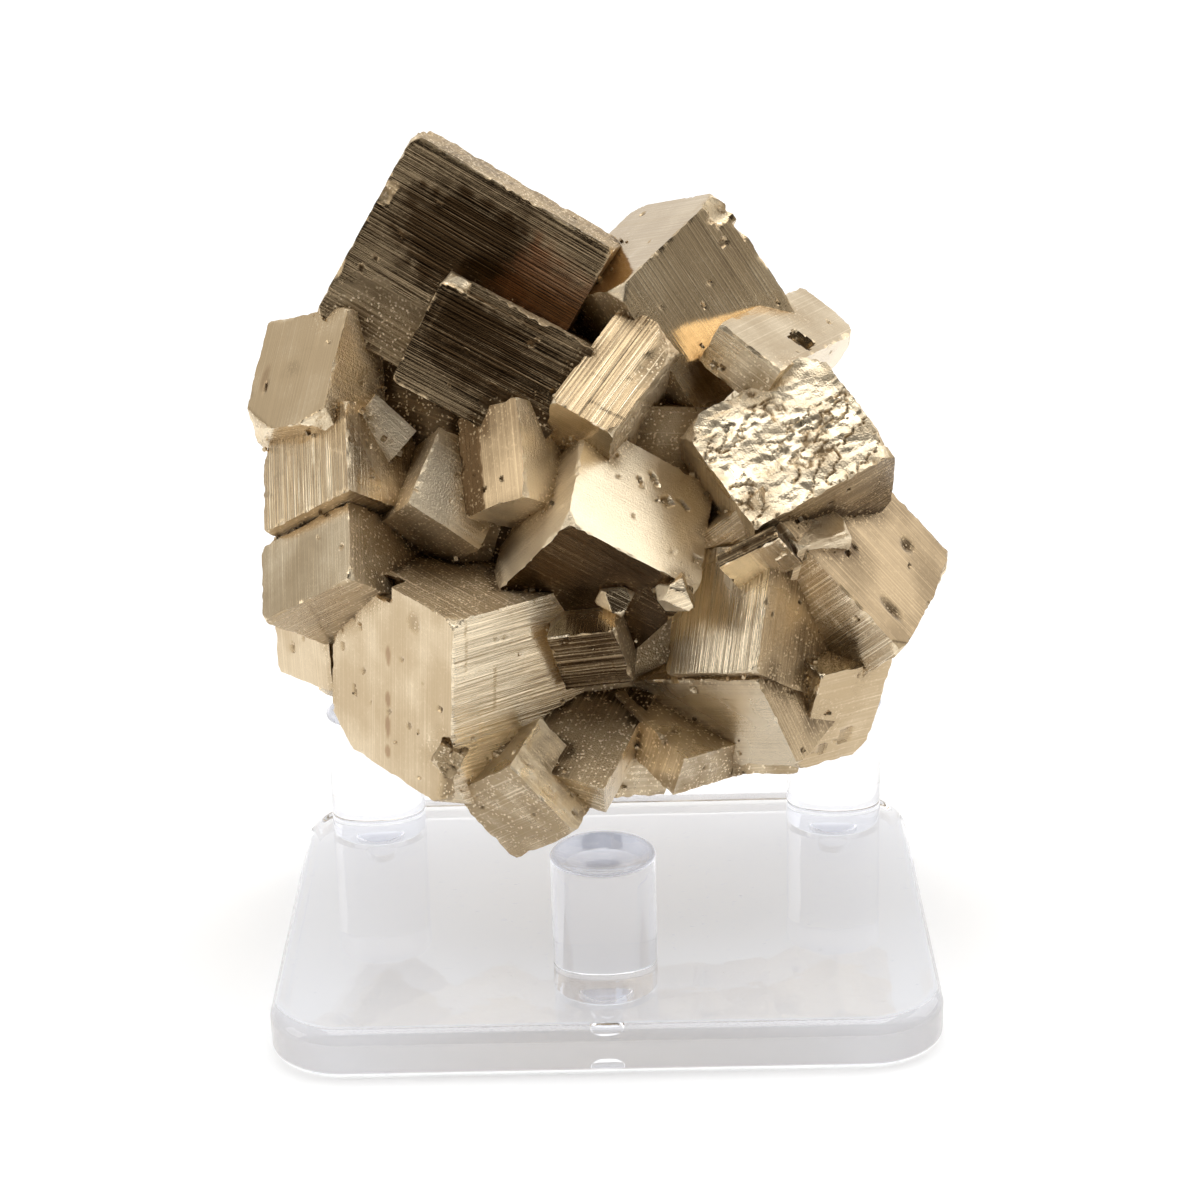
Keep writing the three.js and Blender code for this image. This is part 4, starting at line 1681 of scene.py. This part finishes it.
@dataclass
class Graph:
    """Short calls for adding nodes to a tree.

    Attributes:
        tree: The tree.
    """

    tree: bpy.types.NodeTree

    def add(self, kind: str, **values: object) -> bpy.types.Node:
        """Adds a node and sets its properties.

        Args:
            kind: The node's type.
            values: Its properties.

        Returns:
            The node.
        """
        node = self.tree.nodes.new(kind)
        for name, value in values.items():
            setattr(node, name, value)
        return node

    def feed(self, socket: Socket, value: object) -> None:
        """Links a socket to another, or sets its value.

        Args:
            socket: The input.
            value: An output to link, or a number, vector or colour.
        """
        if isinstance(value, bpy.types.NodeSocket):
            self.tree.links.new(value, socket)
        else:
            socket.default_value = value

    def result(self, kind: str, settings: dict[str, str], *values: object) -> Socket:
        """Adds a node and feeds its inputs in order.

        Args:
            kind: The node's type.
            settings: Its properties.
            values: What its inputs get.

        Returns:
            Its first output.
        """
        node = self.add(kind, **settings)
        for socket, value in zip(node.inputs, values):
            self.feed(socket, value)
        return node.outputs[0]

    def calc(self, operation: str, *values: object) -> Socket:
        """A Math node's result."""
        return self.result("ShaderNodeMath", {"operation": operation}, *values)

    def plus(self, first: object, second: object) -> Socket:
        """Two values added."""
        return self.calc("ADD", first, second)

    def times(self, first: object, second: object) -> Socket:
        """Two values multiplied."""
        return self.calc("MULTIPLY", first, second)

    def ramp(self, value: object, low: float, high: float) -> Socket:
        """A value eased from 0 at low to 1 at high."""
        return self.result("ShaderNodeMapRange", {"interpolation_type": "SMOOTHSTEP"}, value, low, high)

    def parts(self, vector: Socket) -> tuple[Socket, ...]:
        """The three parts of a vector.

        Args:
            vector: The vector.

        Returns:
            Its parts.
        """
        node = self.add("ShaderNodeSeparateXYZ")
        self.feed(node.inputs[0], vector)
        return tuple(node.outputs)

    def blend(self, share: object, first: object, second: object) -> Socket:
        """A colour mixed from two.

        Args:
            share: Share of the second, 0 to 1.
            first: One colour.
            second: The other.

        Returns:
            The colour.
        """
        node = self.add("ShaderNodeMix", data_type="RGBA")
        self.feed(node.inputs["Factor"], share)
        self.feed(node.inputs[6], first)
        self.feed(node.inputs[7], second)
        return node.outputs[2]

    def scaled(self, vector: object, *factors: object) -> Socket:
        """A vector times another, part by part.

        Args:
            vector: The vector.
            factors: What each of its parts is multiplied by.

        Returns:
            The product.
        """
        factor = self.result("ShaderNodeCombineXYZ", {}, *factors)
        return self.result("ShaderNodeVectorMath", {"operation": "MULTIPLY"}, vector, factor)

    def noise(self, vector: object, scale: object, detail: float, roughness: float = 0.5) -> Socket:
        """A noise texture's value.

        Args:
            vector: Where it is read.
            scale: Cells for each unit of the vector.
            detail: How many finer noises are added.
            roughness: How strong the finer ones are.

        Returns:
            The value, 0 to 1.
        """
        node = self.add("ShaderNodeTexNoise")
        self.feed(node.inputs["Vector"], vector)
        self.feed(node.inputs["Scale"], scale)
        self.feed(node.inputs["Detail"], detail)
        self.feed(node.inputs["Roughness"], roughness)
        return node.outputs[0]

    def bump(
        self, height: Socket, distance: float, strength: float, normal: Socket | None = None
    ) -> Socket:
        """A Bump node's normal.

        Args:
            height: Height over the surface, 0 to 1.
            distance: What a height of 1 is, in metres.
            strength: Share of the effect.
            normal: The normal that it adds to, or None for the surface's own.

        Returns:
            The normal.
        """
        node = self.add("ShaderNodeBump")
        node.inputs["Strength"].default_value = strength
        node.inputs["Distance"].default_value = distance
        self.feed(node.inputs["Height"], height)
        if normal is not None:
            self.feed(node.inputs["Normal"], normal)
        return node.outputs[0]

    def effect(self, tree: bpy.types.NodeTree, **values: object) -> bpy.types.Node:
        """Places a shared effect.

        Args:
            tree: The effect's node group.
            values: What its inputs get.

        Returns:
            The group's node.
        """
        node = self.add("ShaderNodeGroup", node_tree=tree)
        for name, value in values.items():
            self.feed(node.inputs[name], value)
        return node


def new_material(name: str) -> tuple[bpy.types.Material, Graph, bpy.types.Node]:
    """Starts a material.

    Args:
        name: Its name.

    Returns:
        The material, its graph and its shader.
    """
    material = bpy.data.materials.new(name)
    material.use_nodes = True
    return material, Graph(material.node_tree), material.node_tree.nodes["Principled BSDF"]


def new_effect(
    name: str, numbers: dict[str, float], outputs: tuple[str, ...]
) -> tuple[Graph, dict[str, Socket], bpy.types.Node]:
    """Starts a shader node group that reads a place on the surface.

    Args:
        name: Name of the group.
        numbers: Its other inputs and their defaults.
        outputs: Names of its values.

    Returns:
        The group's graph, its inputs by name, and its output node.
    """
    tree = bpy.data.node_groups.new(name, "ShaderNodeTree")
    tree.interface.new_socket("Place", in_out="INPUT", socket_type="NodeSocketVector")
    for label, default in numbers.items():
        socket = tree.interface.new_socket(label, in_out="INPUT", socket_type="NodeSocketFloat")
        socket.default_value = default
    for label in outputs:
        tree.interface.new_socket(label, in_out="OUTPUT", socket_type="NodeSocketFloat")
    graph = Graph(tree)
    start = graph.add("NodeGroupInput")
    end = graph.add("NodeGroupOutput")
    return graph, {label: start.outputs[label] for label in ("Place", *numbers)}, end


def growth_lines_group() -> bpy.types.NodeTree:
    """Fine lines along one direction, uneven in height, width and length.

    Two stretched noises, the second about three times finer, are sharpened and added.

    Returns:
        The group, with the lines' height and their shade: broad bands of tone, with the highest lines
        painted bright as highlights.
    """
    graph, given, end = new_effect("growth_lines", {"Fineness": 3.6}, ("Height", "Shade"))
    fine = given["Fineness"]
    coarse = graph.scaled(given["Place"], 0.03, fine, 1.0)
    thin = graph.scaled(given["Place"], 0.07, graph.times(fine, 3.1), 1.0)
    one = graph.ramp(graph.noise(coarse, 1.0, 1.0, 0.4), 0.32, 0.68)
    two = graph.ramp(graph.noise(thin, 1.0, 1.0, 0.4), 0.32, 0.68)
    height = graph.plus(graph.times(one, 0.62), graph.times(two, 0.38))
    # The highest lines are picked out bright: painted highlights.
    bright = graph.ramp(height, 0.72, 0.95)
    graph.feed(end.inputs["Height"], height)
    graph.feed(end.inputs["Shade"], graph.plus(graph.times(one, 0.35), graph.times(bright, 0.65)))
    return graph.tree


def grain_group() -> bpy.types.NodeTree:
    """Fine grain: domed cells of uneven height, and a few cells marked for painted glints.

    Returns:
        The group, with the cells' height and the mask of its painted glints.
    """
    graph, given, end = new_effect("grain", {"Cells": 4400.0}, ("Height", "Spark"))
    cells = graph.add("ShaderNodeTexVoronoi", feature="F1")
    graph.feed(cells.inputs["Vector"], given["Place"])
    graph.feed(cells.inputs["Scale"], given["Cells"])
    split = graph.add("ShaderNodeSeparateColor")
    graph.feed(split.inputs[0], cells.outputs["Color"])
    dome = graph.calc("SUBTRACT", 1.0, cells.outputs["Distance"])
    height = graph.plus(graph.times(split.outputs[0], 0.7), graph.times(dome, 0.5))
    graph.feed(end.inputs["Height"], height)
    # The spark mask picks the few cells that are painted paler: painted glints.
    graph.feed(end.inputs["Spark"], graph.ramp(split.outputs[1], 0.86, 0.97))
    return graph.tree


def clouding_group() -> bpy.types.NodeTree:
    """Slow patches of change over a surface, from one noise made stronger.

    Returns:
        The group, with its one value.
    """
    graph, given, end = new_effect("clouding", {"Cells": 120.0}, ("Cloud",))
    noise = graph.noise(given["Place"], given["Cells"], 4.0)
    graph.feed(end.inputs["Cloud"], graph.ramp(noise, 0.32, 0.68))
    return graph.tree


@dataclass(frozen=True)
class PyriteFinish:
    """Brassy metal that runs from dark bronze to pale gold.

    Attributes:
        dark: Colour at tone 0.
        middle: Colour at tone one half.
        pale: Colour at tone 1.
        stain: Colour of its stains.
        roughness: Roughness of a clean face.
        grain_roughness: Roughness added where it is grainy.
        cloud_roughness: Roughness added in the slow patches.
        line_depth: Height of the fine growth lines, in metres.
        grain_depth: Height of the grain, in metres.
        line_tone: Change of tone from line to line.
        line_level: Shade of a line that doesn't change the tone.
        cloud_tone: Change of tone in the slow patches.
        painted_glint_tone: Tone added on a few grains: painted glints.
        grain_tone: Tone taken off where it is grainy.
        stain_share: How far a full stain covers the metal.
        grain_rise: Power of the grain that sets its height.
    """

    dark: Colour = (0.08, 0.047, 0.021, 1.0)
    middle: Colour = (0.5, 0.375, 0.225, 1.0)
    pale: Colour = (0.94, 0.8, 0.58, 1.0)
    stain: Colour = (0.3, 0.14, 0.065, 1.0)
    roughness: float = 0.09
    grain_roughness: float = 0.44
    cloud_roughness: float = 0.07
    line_depth: float = 0.00006
    grain_depth: float = 0.00017
    # line_tone: Change of tone from line to line, with painted highlights on the brightest lines.
    line_tone: float = 0.6
    line_level: float = 0.3
    cloud_tone: float = 0.14
    painted_glint_tone: float = 0.7
    grain_tone: float = 0.12
    stain_share: float = 0.8
    grain_rise: float = 1.5

    def build(self, groups: dict[str, bpy.types.NodeTree]) -> bpy.types.Material:
        """Builds the material.

        The tone of the mesh, which holds painted light and shade face by face and at the seams, is
        changed by the lines with their painted highlights, the slow patches, and the grain with its
        painted glints, and picks a colour from dark through middle to pale; stains cover that.

        Args:
            groups: The shared effects by name.

        Returns:
            The pyrite.
        """
        material, graph, shader = new_material("pyrite")
        place = graph.add("ShaderNodeTexCoord").outputs["Object"]
        skin = graph.add("ShaderNodeAttribute", attribute_name=SKIN_MAP)
        split = graph.add("ShaderNodeSeparateColor")
        graph.feed(split.inputs[0], skin.outputs["Color"])
        tone, grain, strength = split.outputs[:3]
        lines_place = graph.add("ShaderNodeUVMap", uv_map=LINES_MAP).outputs[0]
        lines = graph.effect(groups["growth_lines"], Place=lines_place)
        grains = graph.effect(groups["grain"], Place=place)
        cloud = graph.effect(groups["clouding"], Place=place).outputs[0]

        # Tone of the growth lines, partly painted highlights on the brightest of them.
        lined = graph.calc("SUBTRACT", lines.outputs["Shade"], self.line_level)
        lined = graph.times(graph.times(lined, strength), self.line_tone)
        clouded = graph.times(graph.calc("SUBTRACT", cloud, 0.5), self.cloud_tone)
        # Painted glints: a few grains are made paler.
        painted_glints = graph.times(graph.times(grains.outputs["Spark"], grain), self.painted_glint_tone)
        dulled = graph.times(grain, -self.grain_tone)
        level = graph.plus(graph.plus(graph.plus(tone, lined), graph.plus(clouded, dulled)), painted_glints)
        colour = graph.blend(graph.ramp(level, 0.0, 0.5), self.dark, self.middle)
        colour = graph.blend(graph.ramp(level, 0.5, 1.0), colour, self.pale)
        stained = graph.times(skin.outputs["Alpha"], self.stain_share)
        graph.feed(shader.inputs["Base Color"], graph.blend(stained, colour, self.stain))

        rough = graph.times(grain, self.grain_roughness)
        rough = graph.plus(rough, graph.times(cloud, self.cloud_roughness))
        graph.feed(shader.inputs["Roughness"], graph.plus(rough, self.roughness))
        shader.inputs["Metallic"].default_value = 1.0

        fine = graph.bump(graph.times(lines.outputs["Height"], strength), self.line_depth, 1.0)
        sand = graph.times(grains.outputs["Height"], graph.calc("POWER", grain, self.grain_rise))
        graph.feed(shader.inputs["Normal"], graph.bump(sand, self.grain_depth, 1.0, fine))
        return material


@dataclass(frozen=True)
class AcrylicFinish:
    """Clear cast acrylic with the faintest cool tint and fine scuffs.

    Attributes:
        tint: Its colour.
        roughness: Roughness where it is clean.
        scuffed: Roughness added in the scuffs.
        refraction: How much it bends light.
        ripple_depth: Height of its surface ripples, in metres.
        ripple_cells: Ripples for each metre.
        scuff_cells: Scuffs for each metre, along them and across.
        scuff_height: Height of a scuff, as a part of the ripples'.
        shadow: Colour of the light that each of its surfaces lets through to its shadow.
        straight: Colour of the light that passes straight through.
        seat: Height above which an underside sits on the plate and lets light straight through.
        deepest: Turns that light takes inside it before it is let straight out.
    """

    tint: Colour = (0.96, 0.965, 0.982, 1.0)
    roughness: float = 0.015
    scuffed: float = 0.1
    refraction: float = 1.49
    ripple_depth: float = 0.00004
    ripple_cells: float = 70.0
    scuff_cells: tuple[float, float] = (900.0, 5200.0)
    scuff_height: float = 0.3
    shadow: Colour = (0.5, 0.51, 0.51, 1.0)
    straight: Colour = (0.965, 0.97, 0.99, 1.0)
    seat: float = 0.004
    deepest: float = 2.5

    def passing(self, graph: Graph, place: Socket, path: bpy.types.Node) -> Socket:
        """Where light goes straight through the surface.

        That is where it has taken too many turns inside, and on a peg's foot: the true normal,
        turned to look outwards on back faces, points down, above the height of the seat.

        Args:
            graph: The material's graph.
            place: The place on the surface.
            path: The Light Path node.

        Returns:
            1 there and 0 elsewhere.
        """
        trapped = graph.calc("GREATER_THAN", path.outputs["Ray Depth"], self.deepest)
        surface = graph.add("ShaderNodeNewGeometry")
        side = graph.calc("MULTIPLY_ADD", surface.outputs["Backfacing"], -2.0, 1.0)
        outward = graph.times(graph.parts(surface.outputs["True Normal"])[2], side)
        above = graph.calc("GREATER_THAN", graph.parts(place)[2], self.seat)
        seated = graph.times(graph.calc("LESS_THAN", outward, -0.95), above)
        return graph.calc("MAXIMUM", trapped, seated)

    def opened(self, graph: Graph, share: Socket, shader: Socket, colour: Colour) -> Socket:
        """A shader that turns to plain see-through colour where light goes straight on.

        Args:
            graph: The material's graph.
            share: 1 where light goes straight on.
            shader: The shader elsewhere.
            colour: Colour of the light that passes.

        Returns:
            The mixed shader.
        """
        clear = graph.add("ShaderNodeBsdfTransparent")
        clear.inputs["Color"].default_value = colour
        return graph.result("ShaderNodeMixShader", {}, share, shader, clear.outputs[0])

    def build(self, groups: dict[str, bpy.types.NodeTree]) -> bpy.types.Material:
        """Builds the material.

        Args:
            groups: The shared effects by name.

        Returns:
            The acrylic.
        """
        material, graph, shader = new_material("clear_acrylic")
        place = graph.add("ShaderNodeTexCoord").outputs["Object"]
        shader.inputs["Base Color"].default_value = self.tint
        shader.inputs["IOR"].default_value = self.refraction
        shader.inputs["Transmission Weight"].default_value = 1.0
        along, across = self.scuff_cells
        scuffs = graph.noise(graph.scaled(place, along, across, along), 1.0, 3.0, 0.7)
        specks = graph.noise(place, along, 2.0, 0.6)
        marks = graph.times(graph.ramp(scuffs, 0.62, 0.72), graph.ramp(specks, 0.5, 0.7))
        rough = graph.times(marks, self.scuffed)
        graph.feed(shader.inputs["Roughness"], graph.plus(rough, self.roughness))
        cloud = graph.effect(groups["clouding"], Place=place, Cells=self.ripple_cells).outputs[0]
        ripple = graph.plus(cloud, graph.times(marks, self.scuff_height))
        graph.feed(shader.inputs["Normal"], graph.bump(ripple, self.ripple_depth, 0.5))
        path = graph.add("ShaderNodeLightPath")
        freed = self.opened(graph, self.passing(graph, place, path), shader.outputs[0], self.straight)
        lit = self.opened(graph, path.outputs["Is Shadow Ray"], freed, self.shadow)
        graph.feed(material.node_tree.nodes["Material Output"].inputs["Surface"], lit)
        return material


# ---------------- Studio ----------------


def facing(back: np.ndarray, across: np.ndarray, place: np.ndarray) -> Matrix:
    """The place and turn of something that looks along its own -Z.

    Args:
        back: Direction from what it looks at to itself, of length 1.
        across: Its own X direction, of length 1 and square to the first.
        place: Where it stands.

    Returns:
        The matrix.
    """
    matrix = np.eye(4)
    matrix[:3, :3] = np.stack([across, np.cross(back, across), back], axis=1)
    matrix[:3, 3] = place
    return Matrix(matrix.tolist())


@dataclass
class Studio:
    """A pale floor, a white room that is dark behind the camera, soft lights and the camera.

    Attributes:
        elevation: Camera's height angle, in degrees.
        azimuth: Camera's turn from straight in front, in degrees.
        roll: Camera's roll, in degrees.
        distance: From the camera to what it looks at, in metres.
        target: What it looks at.
        lens: Focal length for a sensor of the width below.
        sensor: Width of the sensor, in millimetres.
        floor_reach: Half the width of the floor, in metres.
        floor_drop: How far the floor lies under the plate, in metres.
        floor_colour: Colour of the floor.
        floor_glow: Light that the floor gives itself.
        white: Colour of the room.
        grey: Colour of its sides.
        dark: Colour behind the camera.
        dark_way: Direction of the middle of the dark part.
        room_strength: Brightness of the room.
        lamp_target: Height that the lamps look at, in metres.
    """

    elevation: float = 21.2
    azimuth: float = 0.7
    roll: float = -1.5
    distance: float = 0.3513
    target: tuple[float, float, float] = (0.0002, 0.0, 0.0461)
    lens: float = 87.6
    sensor: float = 36.0
    floor_reach: float = 6.0
    floor_drop: float = 0.0002
    floor_colour: Colour = (0.94, 0.94, 0.94, 1.0)
    floor_glow: float = 0.2
    white: Colour = (1.0, 1.0, 1.0, 1.0)
    grey: Colour = (0.6, 0.59, 0.57, 1.0)
    dark: Colour = (0.05, 0.042, 0.034, 1.0)
    dark_way: tuple[float, float, float] = (0.06, -0.965, 0.255)
    room_strength: float = 1.05
    lamp_target: float = 0.05

    def camera(self) -> bpy.types.Object:
        """Places the camera.

        Returns:
            The camera.
        """
        e, a, r = (math.radians(angle) for angle in (self.elevation, self.azimuth, self.roll))
        back = np.array([math.sin(a) * math.cos(e), -math.cos(a) * math.cos(e), math.sin(e)])
        right = np.cross([0.0, 0.0, 1.0], back)
        right /= np.linalg.norm(right)
        rolled = math.cos(r) * right + math.sin(r) * np.cross(back, right)
        data = bpy.data.cameras.new("camera")
        data.lens = self.lens
        data.sensor_width = self.sensor
        data.clip_start = 0.01
        data.clip_end = 50.0
        camera = new_object("camera", data)
        camera.matrix_world = facing(back, rolled, np.array(self.target) + self.distance * back)
        bpy.context.scene.camera = camera
        return camera

    def floor(self) -> bpy.types.Object:
        """Lays the pale floor.

        Returns:
            The floor.
        """
        corners = [(-1, -1), (1, -1), (1, 1), (-1, 1)]
        mesh = bpy.data.meshes.new("floor")
        mesh.from_pydata(
            [(x * self.floor_reach, y * self.floor_reach, -self.floor_drop) for x, y in corners],
            [],
            [(0, 1, 2, 3)],
        )
        material, _, shader = new_material("pale_floor")
        shader.inputs["Base Color"].default_value = self.floor_colour
        shader.inputs["Roughness"].default_value = 0.9
        shader.inputs["Specular IOR Level"].default_value = 0.0
        shader.inputs["Emission Color"].default_value = self.white
        shader.inputs["Emission Strength"].default_value = self.floor_glow
        mesh.materials.append(material)
        floor = new_object("floor", mesh)
        return floor

    def room(self) -> None:
        """Paints the surroundings: white, greyer at the sides and dark behind the camera."""
        world = bpy.data.worlds.new("room")
        world.use_nodes = True
        bpy.context.scene.world = world
        graph = Graph(world.node_tree)
        background = world.node_tree.nodes["Background"]
        direction = graph.add("ShaderNodeTexCoord").outputs["Generated"]
        across, _, up = graph.parts(direction)
        toward = graph.add("ShaderNodeVectorMath", operation="DOT_PRODUCT")
        graph.feed(toward.inputs[0], direction)
        toward.inputs[1].default_value = self.dark_way
        behind = graph.ramp(toward.outputs["Value"], 0.25, 0.68)
        beside = graph.ramp(graph.calc("ABSOLUTE", across), 0.55, 0.9)
        low = graph.ramp(up, 0.6, 0.3)
        colour = graph.blend(graph.times(beside, low), self.white, self.grey)
        graph.feed(background.inputs["Color"], graph.blend(behind, colour, self.dark))
        background.inputs["Strength"].default_value = self.room_strength

    def lamp(self, name: str, place: tuple[float, float, float], size: float, power: float) -> None:
        """Hangs a square soft light that faces the middle of the object.

        Args:
            name: Name of the light.
            place: Where it hangs, in metres.
            size: Its side.
            power: Its power, in watts.
        """
        data = bpy.data.lights.new(name, "AREA")
        data.size = size
        data.energy = power
        back = np.array(place) - np.array([0.0, 0.0, self.lamp_target])
        back /= np.linalg.norm(back)
        right = np.cross([0.02, 1.0, 0.0], back)
        right /= np.linalg.norm(right)
        new_object(name, data).matrix_world = facing(back, right, place)

    def build(self) -> None:
        """Builds the camera, the floor, the room and the lights."""
        self.camera()
        self.floor()
        self.room()
        self.lamp("overhead", (0.0, 0.1, 1.3), 0.9, 5.0)
        self.lamp("from_the_right", (1.0, 0.5, 0.7), 1.0, 2.9)
        self.lamp("from_the_left", (-1.1, -0.15, 0.45), 0.6, 1.6)
        bpy.context.scene.view_settings.view_transform = "Standard"
        bpy.context.scene.view_settings.look = "None"


def main() -> None:
    """Builds the studio, the stand and the cluster, and reports each piece."""
    logging.basicConfig(level=logging.INFO, format="%(message)s")
    Studio().build()
    groups = {
        "growth_lines": growth_lines_group(),
        "grain": grain_group(),
        "clouding": clouding_group(),
    }
    acrylic = AcrylicFinish().build(groups)
    pieces = [Plate().build(acrylic)]
    for node in PEG_NODES:
        pieces.append(Peg(node).build(acrylic))
    pieces += Cluster().build(PyriteFinish().build(groups))
    for piece in pieces:
        log.info("%s: %d faces", piece.name, len(piece.data.polygons))


if __name__ == "__main__":
    main()
